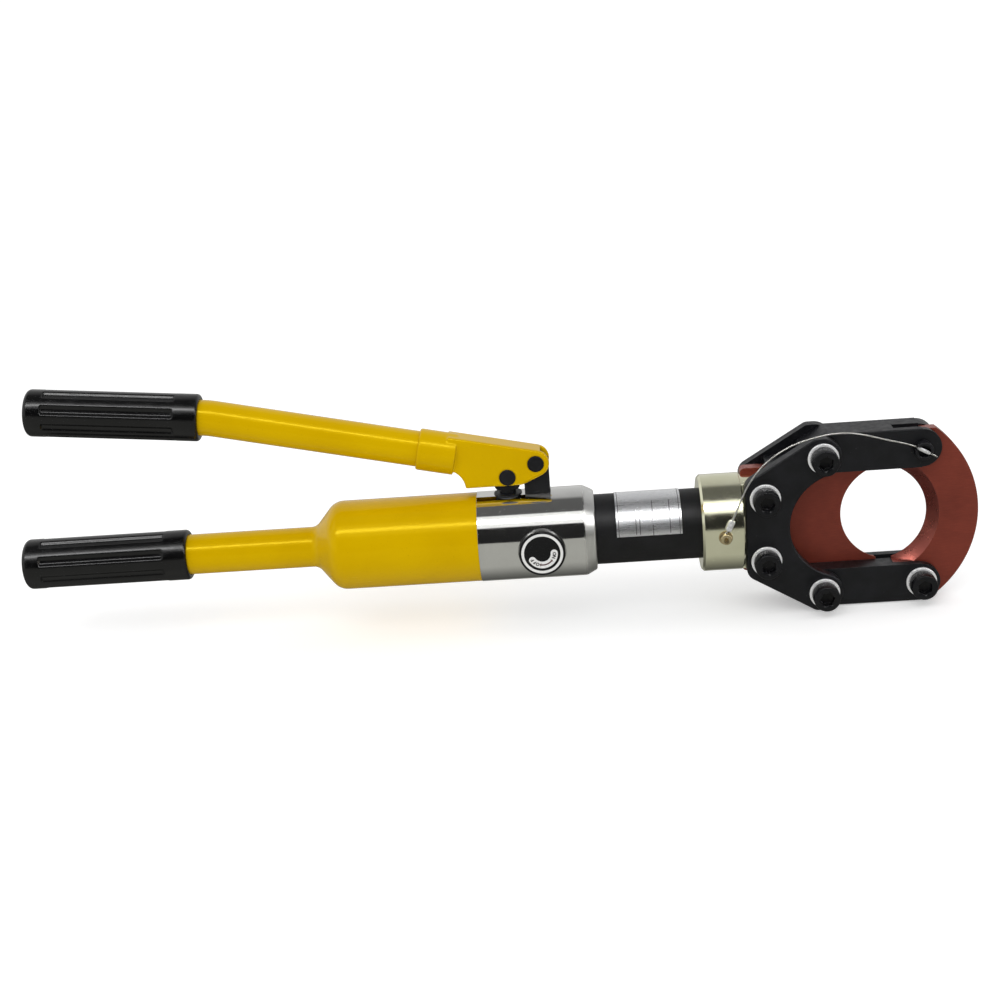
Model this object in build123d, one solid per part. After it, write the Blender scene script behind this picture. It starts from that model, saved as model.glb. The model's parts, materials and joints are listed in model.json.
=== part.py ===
from build123d import *
from math import asin, atan2, cos, hypot, radians, sin, tan
import os

# Hand-pumped hydraulic cable cutter, millimetres.
# The origin is the centre of the cutting eye, in the shear plane between the two blades.
# +X runs along the ram away from the handles, +Z points to the pump lever, -Y is the bolt-head side.

# --- cutting eye and blades ---
EDGE_R = 30.7
EDGE_X = -4.75  # centre of the fixed blade's edge arc; the moving blade's is its mirror image
TIP_X = 4.7
BLADE_T = 7.3
SHEAR_GAP = 0.05
FIXED_OUTER_R = 68.2
FIXED_OUTER_X = -12.5
FIXED_TOP = 53.4
ARM_R = 9.4
BEVEL_R = 39.0
BEVEL_X = -6.7
MOVING_HALF = 33.2
MOVING_REAR_X = -86.5

# --- guide bars ---
BAR_IN = 30.8
BAR_OUT = 54.8
BAR_HALF_Y = 12.5
BAR_LEFT_X = -51.0
HEEL_X = -71.0
HEEL_TOP = 36.5
HEEL_FOOT = 29.95
GROOVE_FLOOR = 33.35
GUIDE_GAP = 0.1
PIVOT_X = 20.8
PIVOT_Z = 42.3

# --- side plates ---
PLATE_T = 8.0
PLATE_LEFT_X = -85.8
PLATE_CORNER_R = 8.0
SLANT_DEG = 31.0
SCOOP_X = -26.3
NEAR_X = -74.0
NEAR_Z = 19.8
FAR_X = -39.3
FAR_Z = (BAR_IN + BAR_OUT) / 2
BOSS_R = 11.6
SLANT_OFFSET = 12.5  # from a far bolt's centre to the plate's slanted edge

# --- screws ---
M10_R = 5.0
M10_CLEAR_R = 5.25
M10_HEAD_R = 8.0
M10_HEAD_H = 10.0
M10_HEX = 8.0
WASHER_R = 9.3
WASHER_T = 2.2

# --- cylinder, neck and ram ---
COLLAR_R = 29.75
COLLAR_LEFT_X = -112.4
COLLAR_FACE_X = -87.0
COLLAR_WALL_X = -90.0
TONGUE_X = -62.0
TUBE_R = 21.6
BORE_R = 17.5
TUBE_REAR_X = -200.0
LABEL_X = (-163.5, -124.0)
ROD_R = 10.0
ROD_TIP_X = -78.0
LINK_X = -81.5
LINK_R = 2.5
PISTON_REAR_X = -198.5
PISTON_FRONT_X = -186.5
GLAND_REAR_X = -104.0
RUN_GAP = 0.05

# --- pump body and tank ---
BODY_R = 27.8
BODY_RIGHT_X = -176.0
BODY_LEFT_X = -247.3
SHOULDER_X = 6.5
SHOULDER_R = 3.4
SPIGOT_R = 25.0
SPIGOT_X = -258.5
NOSE_R = 12.0
NOSE_X = -266.5
SEAT_FLAT_Z = 27.2
TANK_R = 27.5
HANDLE_R = 12.45
CONE_DEG = 50.0
CONE_START_X = -330.5
GRIP_LOW_RIGHT_X = -428.3
GRIP_LOW_LEFT_X = -531.2
GRIP_LOW_R = 15.6

# --- hand pump ---
HINGE_X = -209.8
HINGE_Z = 46.8
LINK_PIN_X = -227.4
LINK_PIN_Z = 39.3
PLUNGER_X = -228.0
PLUNGER_R = 5.0
PLUNGER_FOOT_Z = -4.0
PLUNGER_HEAD_Z = 30.6
HEAD_HALF_X = 7.7
HEAD_HALF_Y = 4.85
PIN_R = 3.5
PIN_HEAD_R = 5.0
FORK_HALF_Y = 8.5
FORK_SLOT_Y = 5.0
TILT_DEG = 12.6
FORK_TOP = 8.3
WEB_UNDER = 6.0
BRACKET_TOP_R = 5.7
COLLAR_U0 = 48.7
COLLAR_U1 = 71.9
LEVER_AXIS_W = -3.7
LEVER_COLLAR_R = 12.7
LEVER_TUBE_R = 10.9
GRIP_UP_R = 14.4
GRIP_UP_LENGTH = 105.2
BEND_X = -405.5
GRIP_UP_DEG = 5.6
GRIP_FLUTES = 8
GRIP_FLUTE_HALF = 2.7
GRIP_FLUTE_DEPTH = 1.0
GRIP_NEAR_BAND = 14.0
GRIP_FAR_BAND = 10.5
GRIP_GAP = 5.0  # from the bend in the lever tube to the upper grip

# --- valves ---
VALVE_Z = -7.5
VALVE_R = 3.2
BALL_R = 2.25
DRILL_R = 1.2
RELIEF_X = -207.5
RELEASE_X = -209.0
KNOB_Z = -2.4
KNOB_R = 14.0
KNOB_FACE_Y = -31.5
POCKET_Y = -25.6

# --- lanyard ---
WIRE_R = 0.5
EYE_WIRE_Y = -31.15
LATCH_HEAD = 6.0
LATCH_SLOT = 2.6
LATCH_WIRE_Y = -BAR_HALF_Y - LATCH_HEAD + 2.0
LATCH_WIRE_DEG = 29.0
SCREW_X = -99.0


def slab(sketch, y0, y1):
    """Sketch drawn in X and Z, filled from y0 to y1."""
    return extrude(Plane.XZ.offset(-y1) * sketch, amount=y1 - y0)


def along_x(radius, x0, x1, y=0.0, z=0.0):
    return Pos((x0 + x1) / 2, y, z) * Rot(0, 90, 0) * Cylinder(radius, x1 - x0)


def along_y(radius, y0, y1, x=0.0, z=0.0):
    return Pos(x, (y0 + y1) / 2, z) * Rot(90, 0, 0) * Cylinder(radius, y1 - y0)


def along_z(radius, z0, z1, x=0.0, y=0.0):
    return Pos(x, y, (z0 + z1) / 2) * Cylinder(radius, z1 - z0)


def block(x0, x1, y0, y1, z0, z1):
    return Pos((x0 + x1) / 2, (y0 + y1) / 2, (z0 + z1) / 2) * Box(x1 - x0, y1 - y0, z1 - z0)


def turned(points):
    """Solid of revolution about X from (x, radius) points, closed along the axis if they reach it."""
    return revolve(make_face(Polyline(points, close=True)), Axis.X)


def ring_x(outer, inner, x0, x1):
    return along_x(outer, x0, x1) - along_x(inner, x0, x1)


def circle_at(radius, x, z):
    return Pos(x, z) * Circle(radius)


def shape_xz(points):
    return make_face(Polyline(points, close=True))


def tangent_from(point, centre, radius, side):
    """Where the tangent from a point touches a circle, on the chosen side."""
    dx = centre[0] - point[0]
    dz = centre[1] - point[1]
    reach = hypot(dx, dz)
    turn = atan2(dz, dx) + side * asin(radius / reach)
    length = (reach**2 - radius**2) ** 0.5
    return (point[0] + length * cos(turn), point[1] + length * sin(turn))


def round_edges_at(part, axis, position, radius_range):
    """Circular edges that lie in one plane across an axis and whose radius is in a range."""
    found = []
    for edge in part.edges().filter_by(GeomType.CIRCLE):
        centre = edge.arc_center
        value = {Axis.X: centre.X, Axis.Y: centre.Y, Axis.Z: centre.Z}[axis]
        if abs(value - position) < 0.01 and radius_range[0] < edge.radius < radius_range[1]:
            found.append(edge)
    return found


# ---------------------------------------------------------------- cutting head


def eye_cutter():
    """Space inside the fixed blade's edge: the eye at the shear face, opening to the bevel in front."""
    far_left = -120.0
    tip_z = (EDGE_R**2 - (TIP_X - EDGE_X) ** 2) ** 0.5
    bevel_end = BEVEL_X + (BEVEL_R**2 - BAR_IN**2) ** 0.5
    back = Plane.XZ.offset(SHEAR_GAP)
    front = Plane.XZ.offset(SHEAR_GAP + BLADE_T)
    edge_wire = [
        Line((far_left, -BAR_IN), (TIP_X, -BAR_IN)),
        Line((TIP_X, -BAR_IN), (TIP_X, -tip_z)),
        ThreePointArc((TIP_X, -tip_z), (EDGE_X + EDGE_R, 0), (TIP_X, tip_z)),
        Line((TIP_X, tip_z), (TIP_X, BAR_IN)),
        Line((TIP_X, BAR_IN), (far_left, BAR_IN)),
        Line((far_left, BAR_IN), (far_left, -BAR_IN)),
    ]
    shoulder = bevel_end - 1.5
    bevel_wire = [
        Line((far_left, -BAR_IN), (shoulder, -BAR_IN)),
        Line((shoulder, -BAR_IN), (bevel_end, -BAR_IN)),
        ThreePointArc((bevel_end, -BAR_IN), (BEVEL_X + BEVEL_R, 0), (bevel_end, BAR_IN)),
        Line((bevel_end, BAR_IN), (shoulder, BAR_IN)),
        Line((shoulder, BAR_IN), (far_left, BAR_IN)),
        Line((far_left, BAR_IN), (far_left, -BAR_IN)),
    ]
    return loft([back * make_face(edge_wire), front * make_face(bevel_wire)], ruled=True)


def fixed_blade():
    """C-shaped blade in front of the shear plane, hung on the lower pivot and latched at the top."""
    disc = circle_at(FIXED_OUTER_R, FIXED_OUTER_X, 0)
    crescent = disc & (Pos(PIVOT_X + 50, 0) * Rectangle(100, 2 * FIXED_TOP))
    outline = crescent
    for side in (1, -1):
        centre = (PIVOT_X, side * PIVOT_Z)
        tip = (TIP_X, side * BAR_IN)
        touch = tangent_from(tip, centre, ARM_R, side)
        arm = circle_at(ARM_R, *centre) + shape_xz([tip, touch, centre, (PIVOT_X + 1, side * BAR_IN)])
        outline = outline + arm
        outline = outline + shape_xz([tip, (PIVOT_X + 1, side * BAR_IN), (PIVOT_X + 1, 0), (TIP_X, 0)])
    blade = slab(outline, -SHEAR_GAP - BLADE_T, -SHEAR_GAP)
    blade = blade - eye_cutter()
    for side in (1, -1):
        blade = blade - along_y(M10_R + RUN_GAP, -BLADE_T - 1, 1, PIVOT_X, side * PIVOT_Z)
    return blade


def moving_blade():
    """Plate blade behind the shear plane, with open slots that straddle the two near plate bolts."""
    mid = (MOVING_REAR_X - TIP_X) / 2
    outline = Pos(mid, 0) * Rectangle(-TIP_X - MOVING_REAR_X, 2 * MOVING_HALF)
    rear_corners = outline.vertices().sort_by(Axis.X)[:2]
    outline = fillet(rear_corners, 3)
    for side in (1, -1):
        slot = circle_at(M10_R + 0.6, NEAR_X, side * NEAR_Z)
        slot = slot + Pos(NEAR_X - 10, side * NEAR_Z) * Rectangle(20, 2 * M10_R + 1.2)
        outline = outline - slot
    blade = slab(outline, SHEAR_GAP, SHEAR_GAP + BLADE_T)
    blade = blade - Rot(0, 0, 180) * eye_cutter()
    return blade - along_y(LINK_R + RUN_GAP, -1, BLADE_T + 1, LINK_X)


def guide_bar(side, pin_hole_rear_r):
    """Bar between the plates. Its heel bears on the neck's tongue and keeps it from turning."""
    centre_z = side * FAR_Z
    outline = shape_xz(
        [
            (PIVOT_X, side * BAR_IN),
            (TONGUE_X + 1, side * BAR_IN),
            (TONGUE_X + 1, side * HEEL_FOOT),
            (HEEL_X, side * HEEL_FOOT),
            (HEEL_X, side * HEEL_TOP),
            (BAR_LEFT_X, side * HEEL_TOP),
            (BAR_LEFT_X, side * (BAR_OUT - 16.5 * tan(radians(SLANT_DEG)))),
            (BAR_LEFT_X + 16.5, side * BAR_OUT),
            (PIVOT_X, side * BAR_OUT),
        ]
    )
    outline = outline + circle_at(BOSS_R, PIVOT_X, centre_z)
    bar = slab(outline, -BAR_HALF_Y, BAR_HALF_Y)
    groove_y1 = SHEAR_GAP + BLADE_T + GUIDE_GAP
    bar = bar - slab(
        Pos(-20, side * GROOVE_FLOOR / 2) * Rectangle(120, GROOVE_FLOOR), -SHEAR_GAP, groove_y1
    )
    slot = shape_xz(
        [(TIP_X - 0.6, side * 28), (TIP_X - 0.2, side * 60), (60, side * 60), (60, side * 28)]
    )
    bar = bar - slab(slot, -SHEAR_GAP - BLADE_T - GUIDE_GAP, 0)
    bar = bar - along_y(M10_CLEAR_R, -20, 20, FAR_X, centre_z)
    bar = bar - along_y(M10_CLEAR_R, -20, 0, PIVOT_X, side * PIVOT_Z)
    bar = bar - along_y(pin_hole_rear_r, -1, 20, PIVOT_X, side * PIVOT_Z)
    outside = [e for e in bar.edges().filter_by(Axis.X) if abs(e.center().Z) > BAR_OUT - 0.1]
    long_edges = [e for e in outside if abs(abs(e.center().Y) - BAR_HALF_Y) < 0.1]
    return chamfer(long_edges, 0.5)


def plate_outline():
    """Side plate: square rear edge, slanted shoulders, a boss round each far bolt and a round scoop."""
    slant = radians(SLANT_DEG)
    top_z = FAR_Z + BOSS_R
    rise = (SLANT_OFFSET - BOSS_R * cos(slant)) / sin(slant)
    knee = (FAR_X - rise, top_z)
    corner_z = top_z - (knee[0] - PLATE_LEFT_X) * tan(slant)
    away = hypot(FAR_X - SCOOP_X, FAR_Z)
    scoop_r = away - BOSS_R
    meet = (SCOOP_X + (FAR_X - SCOOP_X) * scoop_r / away, FAR_Z * scoop_r / away)
    outline = shape_xz(
        [
            (PLATE_LEFT_X, corner_z),
            knee,
            (FAR_X, top_z),
            (FAR_X, FAR_Z),
            meet,
            (meet[0], -meet[1]),
            (FAR_X, -FAR_Z),
            (FAR_X, -top_z),
            (knee[0], -top_z),
            (PLATE_LEFT_X, -corner_z),
        ]
    )
    outline = fillet(outline.vertices().sort_by(Axis.X)[:2], PLATE_CORNER_R)
    outline = fillet(outline.vertices().sort_by(Axis.X)[4:6], 6.0)
    outline = outline + circle_at(BOSS_R, FAR_X, FAR_Z) + circle_at(BOSS_R, FAR_X, -FAR_Z)
    return outline - circle_at(scoop_r, SCOOP_X, 0)


def bolt_places():
    return [(x, side * z) for x, z in ((NEAR_X, NEAR_Z), (FAR_X, FAR_Z)) for side in (1, -1)]


def side_plate(front):
    """The front plate has clearance holes, the rear plate has the bolts' threads."""
    inner = BAR_HALF_Y
    outer = BAR_HALF_Y + PLATE_T
    y0 = -outer if front else inner
    plate = slab(plate_outline(), y0, y0 + PLATE_T)
    hole_r = M10_CLEAR_R if front else M10_R
    for x, z in bolt_places():
        plate = plate - along_y(hole_r, y0 - 1, y0 + PLATE_T + 1, x, z)
    face_y = -outer if front else outer
    rim = plate.faces().sort_by(Axis.Y)[0 if front else -1].outer_wire().edges()
    rim = [e for e in rim if abs(e.center().Y - face_y) < 0.01]
    return chamfer(rim, 0.6)


def cap_screw(x, z, seat_y, tip_y):
    """Hexagon socket head screw, head towards -Y."""
    front = seat_y - M10_HEAD_H
    screw = along_y(M10_HEAD_R, front, seat_y, x, z)
    screw = chamfer(round_edges_at(screw, Axis.Y, front, (7.9, 8.1)), 0.7)
    socket = extrude(
        Plane.XZ.offset(-front) * Pos(x, z) * RegularPolygon(M10_HEX / 2, 6, major_radius=False),
        amount=-5.5,
    )
    shank = along_y(M10_R, seat_y - 0.5, tip_y, x, z)
    shank = chamfer(round_edges_at(shank, Axis.Y, tip_y, (4.9, 5.1)), 0.8)
    return screw - socket + shank


def plate_bolts():
    seat = -BAR_HALF_Y - PLATE_T - WASHER_T
    return [cap_screw(x, z, seat, BAR_HALF_Y + PLATE_T - 0.8) for x, z in bolt_places()]


def blade_pivot_bolt():
    return cap_screw(PIVOT_X, -PIVOT_Z, -BAR_HALF_Y - WASHER_T, BAR_HALF_Y - 0.6)


def spring_washers():
    """Split washers under the four plate bolts and the blade pivot bolt."""
    plate_face = -BAR_HALF_Y - PLATE_T
    places = [(x, z, plate_face) for x, z in bolt_places()]
    places.append((PIVOT_X, -PIVOT_Z, -BAR_HALF_Y))
    washers = []
    for x, z, face in places:
        washer = along_y(WASHER_R, face - WASHER_T, face, x, z)
        washer = chamfer(round_edges_at(washer, Axis.Y, face - WASHER_T, (9.2, 9.4)), 0.3)
        washer = washer - along_y(M10_CLEAR_R, face - 5, face + 5, x, z)
        split = Pos(x, face - WASHER_T / 2, z - 7) * Rot(0, 20, 0) * Box(1.0, 4, 6)
        washers.append(washer - split)
    return washers


def latch_pin():
    """Pull pin that locks the fixed blade into the upper bar: hollow head, slotted for the wire."""
    face = -BAR_HALF_Y
    front = face - LATCH_HEAD
    head = along_y(5.6, front, face, PIVOT_X, PIVOT_Z)
    head = fillet(round_edges_at(head, Axis.Y, front, (5.5, 5.7)), 0.8)
    head = head - along_y(3.8, front - 1, face - 1.6, PIVOT_X, PIVOT_Z)
    pin = head + along_y(M10_R - RUN_GAP, face - 0.5, BAR_HALF_Y - 1.0, PIVOT_X, PIVOT_Z)
    pin = chamfer(round_edges_at(pin, Axis.Y, BAR_HALF_Y - 1.0, (4.9, 5.0)), 1.0)
    slot = Box(18, 2 * (LATCH_WIRE_Y - front), LATCH_SLOT)
    slot = Pos(PIVOT_X, front, PIVOT_Z) * Rot(0, LATCH_WIRE_DEG, 0) * slot
    return pin - slot - latch_cross(LATCH_SLOT / 2, 18.0)


def latch_cross(radius, length):
    """Cylinder along the wire where it crosses the latch pin's head."""
    place = Pos(PIVOT_X, LATCH_WIRE_Y, PIVOT_Z) * Rot(0, 90 + LATCH_WIRE_DEG, 0)
    return place * Cylinder(radius, length)


def lanyard_ferrule():
    """Sleeve crimped on the wire in the slot of the latch pin's head, so the wire cannot pull out."""
    return latch_cross(1.15, 8.4) - latch_cross(WIRE_R + 0.15, 10.0)


def head_collar():
    """Neck collar screwed on the cylinder, milled down to a two-cheeked tongue between the plates."""
    collar = along_x(COLLAR_R, COLLAR_LEFT_X, COLLAR_FACE_X)
    collar = chamfer(round_edges_at(collar, Axis.X, COLLAR_LEFT_X, (29, 30)), 1.4)
    collar = chamfer(round_edges_at(collar, Axis.X, COLLAR_FACE_X, (29, 30)), 0.8)
    tongue = along_x(COLLAR_R - 0.2, COLLAR_FACE_X - 1, TONGUE_X)
    tongue = tongue & block(-120, -50, -BAR_HALF_Y, BAR_HALF_Y, -40, 40)
    collar = collar + tongue
    collar = collar - along_x(TUBE_R, COLLAR_LEFT_X - 1, COLLAR_WALL_X)
    collar = collar - along_x(ROD_R + 0.2, COLLAR_WALL_X - 1, TONGUE_X + 1)
    slot_y1 = SHEAR_GAP + BLADE_T + GUIDE_GAP
    collar = collar - block(COLLAR_FACE_X, TONGUE_X + 1, -SHEAR_GAP, slot_y1, -40, 40)
    for side in (1, -1):
        collar = collar - along_y(M10_CLEAR_R, -20, 20, NEAR_X, side * NEAR_Z)
    return collar - along_y(1.5, -40, -24, SCREW_X)


# ---------------------------------------------------------------- lanyard


def lanyard_screw():
    """Pan-head screw with its washer turned on, holding the lanyard eye to the collar."""
    washer = along_y(4.2, -COLLAR_R - 0.6, -COLLAR_R, SCREW_X)
    head = along_y(3.3, -COLLAR_R - 4.4, -COLLAR_R - 2.2, SCREW_X)
    head = fillet(round_edges_at(head, Axis.Y, -COLLAR_R - 4.4, (3.2, 3.4)), 0.9)
    shank = along_y(1.5, -COLLAR_R - 4, -24.5, SCREW_X)
    cross = Box(3.2, 3, 0.8) + Box(0.8, 3, 3.2)
    cross = Pos(SCREW_X, -COLLAR_R - 4.6, 0) * Rot(0, 30, 0) * cross
    return washer + head + shank - cross


def wire_path():
    """Lanyard wire from its crimp on the collar, over the far bolt, down to the latch pin."""
    end_dir = (cos(radians(LATCH_WIRE_DEG)), 0, -sin(radians(LATCH_WIRE_DEG)))
    end = (PIVOT_X + 9 * end_dir[0], LATCH_WIRE_Y, PIVOT_Z + 9 * end_dir[2])
    through = (PIVOT_X - 7 * end_dir[0], LATCH_WIRE_Y, PIVOT_Z - 7 * end_dir[2])
    return Spline(
        (SCREW_X + 0.8, EYE_WIRE_Y, 3.5),
        (-94.3, -31.0, 12.0),
        (-88.7, -29.2, 23.8),
        (-83.4, -27.5, 33.0),
        (-74.3, -26.0, 43.3),
        (-59.3, -24.5, 52.4),
        (-39.7, -23.0, 57.4),
        (-23.6, -21.2, 57.4),
        (0.4, -18.0, 50.4),
        through,
        (PIVOT_X, LATCH_WIRE_Y, PIVOT_Z),
        end,
    )


def lanyard_wire():
    """Wire along its path, and the eye round the screw, as two solids that meet at the crimp."""
    path = wire_path()
    wire = sweep(Plane(path @ 0, z_dir=path % 0) * Circle(WIRE_R), path)
    eye = Pos(SCREW_X, EYE_WIRE_Y, 0) * Rot(90, 0, 0) * Torus(2.6, WIRE_R)
    return [wire, eye]


def lanyard_crimp():
    """Flattened aluminium sleeve pressed on the wire next to its eye."""
    path = wire_path()
    start = path.position_at(0.012)
    direction = path.tangent_at(0.012)
    sleeve = Plane(start, x_dir=(0, 1, 0), z_dir=direction) * Pos(0, 0, 3) * Box(2.6, 3.6, 6.5)
    sleeve = fillet(sleeve.edges().filter_by(lambda e: e.length > 6), 0.8)
    return sleeve - sweep(Plane(path @ 0, z_dir=path % 0) * Circle(WIRE_R), path)


# ---------------------------------------------------------------- cylinder and ram


def cylinder_tube():
    return ring_x(TUBE_R, BORE_R, TUBE_REAR_X, COLLAR_WALL_X)


def nameplate():
    """Blank thin sheet wrapped round the tube from its front to past its top."""
    inner = TUBE_R + 0.05
    outer = inner + 0.4
    x0, x1 = LABEL_X
    sheet = make_face(Polyline((x0, inner), (x1, inner), (x1, outer), (x0, outer), close=True))
    return Rot(64, 0, 0) * revolve(sheet, Axis.X, 112)


def ram():
    """Piston and rod in one piece, with a tang slot for the moving blade's web at its tip."""
    body = turned(
        [
            (PISTON_REAR_X, 0),
            (PISTON_REAR_X, BORE_R - RUN_GAP),
            (-194.5, BORE_R - RUN_GAP),
            (-194.5, 14.5),
            (-190.5, 14.5),
            (-190.5, BORE_R - RUN_GAP),
            (PISTON_FRONT_X, BORE_R - RUN_GAP),
            (PISTON_FRONT_X, ROD_R),
            (ROD_TIP_X - 1.5, ROD_R),
            (ROD_TIP_X, ROD_R - 1.5),
            (ROD_TIP_X, 0),
        ]
    )
    body = body - block(MOVING_REAR_X - 0.7, ROD_TIP_X + 1, 0, SHEAR_GAP + BLADE_T + 0.05, -20, 20)
    return body - along_y(LINK_R, -20, 20, LINK_X)


def ram_link_pin():
    half = (ROD_R**2 - LINK_R**2) ** 0.5 - 0.3
    return along_y(LINK_R, -half, half, LINK_X)


def piston_seal():
    return ring_x(BORE_R - 0.02, 14.5, -194.4, -190.6)


def ram_gland():
    """Screwed guide bush at the front of the tube, with a seal groove and a wiper seat."""
    gland = ring_x(BORE_R, ROD_R + RUN_GAP, GLAND_REAR_X, COLLAR_WALL_X)
    gland = gland - ring_x(13.0, ROD_R, -100.0, -96.0)
    return gland - ring_x(12.8, ROD_R, -93.0, COLLAR_WALL_X + 1)


def rod_seal():
    return ring_x(13.0, ROD_R + 0.02, -99.9, -96.1)


def rod_wiper():
    return ring_x(12.8, ROD_R + 0.02, -93.0, -90.3)


def coil(mean_r, wire_r, length, turns):
    """Compression spring from the origin along +Z."""
    pitch = (length - 2 * wire_r) / turns
    path = Helix(pitch=pitch, height=pitch * turns, radius=mean_r)
    wire = sweep(Plane(path @ 0, z_dir=path % 0) * Circle(wire_r), path, is_frenet=True)
    return Pos(0, 0, wire_r) * wire


def return_spring():
    start = PISTON_FRONT_X + 0.2
    end = GLAND_REAR_X - 0.2
    return Pos(start, 0, 0) * Rot(0, 90, 0) * coil(13.6, 1.3, end - start, 9)


# ---------------------------------------------------------------- pump body and valves


def pump_body():
    """Steel body with the cylinder's thread at one end and the tank spigot at the other."""
    body = turned(
        [
            (NOSE_X, 0),
            (NOSE_X, NOSE_R),
            (SPIGOT_X, NOSE_R),
            (SPIGOT_X, SPIGOT_R),
            (-254.0, SPIGOT_R),
            (-254.0, 22.3),
            (-251.0, 22.3),
            (-251.0, SPIGOT_R),
            (BODY_LEFT_X, SPIGOT_R),
            (BODY_LEFT_X, BODY_R),
            (BODY_RIGHT_X - SHOULDER_X, BODY_R),
            (BODY_RIGHT_X, BODY_R - SHOULDER_R),
            (BODY_RIGHT_X, 0),
        ]
    )
    shoulder = round_edges_at(body, Axis.X, BODY_RIGHT_X - SHOULDER_X, (27, 28))
    body = fillet(shoulder, 5.0)
    face_edge = round_edges_at(body, Axis.X, BODY_RIGHT_X, (20, 26))
    body = fillet(face_edge, 1.8)
    body = body - along_x(TUBE_R, TUBE_REAR_X, BODY_RIGHT_X + 1)
    body = body - block(BODY_LEFT_X, HINGE_X + HEAD_HALF_X + 0.2, -12, 12, SEAT_FLAT_Z, 40)
    body = body - along_y(KNOB_R + 0.4, -40, POCKET_Y, RELEASE_X, KNOB_Z)
    body = body - release_passages() - pump_passages() - relief_passages()
    return body - along_z(5.0, SEAT_FLAT_Z - 11, 40, HINGE_X)


def release_passages():
    """Bore of the release screw, its ball seat, and the drillings from cylinder to tank."""
    bores = along_y(4.05, -30, -4.5, RELEASE_X, KNOB_Z)
    bores = bores + along_y(DRILL_R, -5, 3.7, RELEASE_X, KNOB_Z)
    bores = bores + along_x(DRILL_R, RELEASE_X, TUBE_REAR_X + 1, 2.5, KNOB_Z)
    return bores + along_x(DRILL_R, NOSE_X - 1, RELEASE_X, -8, KNOB_Z)


def pump_passages():
    """Plunger bore with its gland seat, suction valve bore and delivery valve bore."""
    bores = along_z(PLUNGER_R + RUN_GAP, VALVE_Z - 1.5, 40, PLUNGER_X)
    bores = bores + along_z(8.5, SEAT_FLAT_Z - 9.2, 40, PLUNGER_X)
    bores = bores + along_x(VALVE_R, NOSE_X - 1, -249.5, 0, VALVE_Z)
    bores = bores + along_x(DRILL_R, -250, PLUNGER_X, 0, VALVE_Z)
    bores = bores + along_x(DRILL_R, PLUNGER_X, -216, 0, VALVE_Z)
    return bores + along_x(VALVE_R, -217, TUBE_REAR_X + 1, 0, VALVE_Z)


def relief_passages():
    """Overload valve bore from the rear side, joined to the delivery bore and drained to the tank."""
    bores = along_y(VALVE_R, 6.5, 40, RELIEF_X, VALVE_Z)
    bores = bores + along_y(1.0, 0, 7, RELIEF_X, VALVE_Z)
    return bores + along_x(DRILL_R, NOSE_X - 1, RELIEF_X, 8.5, -5.0)


def ball(x, y, z, radius=BALL_R):
    return Pos(x, y, z) * Sphere(radius)


def ball_on_seat(seat, bore_r, radius=BALL_R):
    """Distance along the bore from its mouth plane to the centre of a ball resting on that mouth."""
    return seat + (radius**2 - bore_r**2) ** 0.5


def suction_seat():
    seat = along_x(VALVE_R, NOSE_X, -260.5, 0, VALVE_Z)
    return seat - along_x(DRILL_R, NOSE_X - 1, -260, 0, VALVE_Z)


def suction_ball():
    return ball(ball_on_seat(-260.5, DRILL_R) + 0.02, 0, VALVE_Z)


def suction_spring():
    start = ball_on_seat(-260.5, DRILL_R) + BALL_R + 0.1
    return Pos(start, 0, VALVE_Z) * Rot(0, 90, 0) * coil(1.9, 0.35, -249.6 - start, 5)


def delivery_ball():
    return ball(ball_on_seat(-217, DRILL_R) + 0.02, 0, VALVE_Z)


def delivery_spring():
    start = ball_on_seat(-217, DRILL_R) + BALL_R + 0.1
    return Pos(start, 0, VALVE_Z) * Rot(0, 90, 0) * coil(1.9, 0.35, -203.6 - start, 5)


def delivery_plug():
    plug = along_x(VALVE_R, -203.5, TUBE_REAR_X, 0, VALVE_Z)
    return plug - along_x(DRILL_R, -205, TUBE_REAR_X + 1, 0, VALVE_Z)


def relief_ball():
    return ball(RELIEF_X, ball_on_seat(6.5, 1.0) + 0.02, VALVE_Z)


def relief_spring():
    start = ball_on_seat(6.5, 1.0) + BALL_R + 0.1
    return Pos(RELIEF_X, start, VALVE_Z) * Rot(-90, 0, 0) * coil(2.2, 0.6, 18.9 - start, 4)


def relief_screw():
    """Socket set screw that loads the overload valve's spring, reached from the rear side."""
    screw = along_y(VALVE_R, 19.0, 25.0, RELIEF_X, VALVE_Z)
    key = Plane.XZ.offset(-25.0) * Pos(RELIEF_X, VALVE_Z) * RegularPolygon(1.5, 6, major_radius=False)
    return screw - extrude(key, amount=3.0)


def intake_strainer():
    """Small wire cup over the suction seat."""
    cup = along_x(3.9, NOSE_X - 5, NOSE_X, 0, VALVE_Z)
    return cup - along_x(3.3, NOSE_X - 4.4, NOSE_X + 1, 0, VALVE_Z)


def release_spindle():
    """Release screw: threaded body that holds the ball on its seat, and a plain end for the knob."""
    body = along_y(4.0, -24.5, -8.7, RELEASE_X, KNOB_Z)
    return body + along_y(3.0, -29.5, -24.4, RELEASE_X, KNOB_Z)


def release_ball():
    return ball(RELEASE_X, -4.5 - (BALL_R**2 - DRILL_R**2) ** 0.5 - 0.02, KNOB_Z)


def release_knob():
    """Round hand knob with a shallow recess for its dial."""
    knob = along_y(KNOB_R, KNOB_FACE_Y, POCKET_Y - 0.1, RELEASE_X, KNOB_Z)
    knob = fillet(round_edges_at(knob, Axis.Y, KNOB_FACE_Y, (13.9, 14.1)), 0.8)
    knob = knob - along_y(12.9, KNOB_FACE_Y - 1, KNOB_FACE_Y + 0.6, RELEASE_X, KNOB_Z)
    return knob - along_y(3.0, -29.5, POCKET_Y + 1, RELEASE_X, KNOB_Z)


def knob_dial():
    return along_y(12.9, KNOB_FACE_Y + 0.1, KNOB_FACE_Y + 0.6, RELEASE_X, KNOB_Z)


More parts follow.
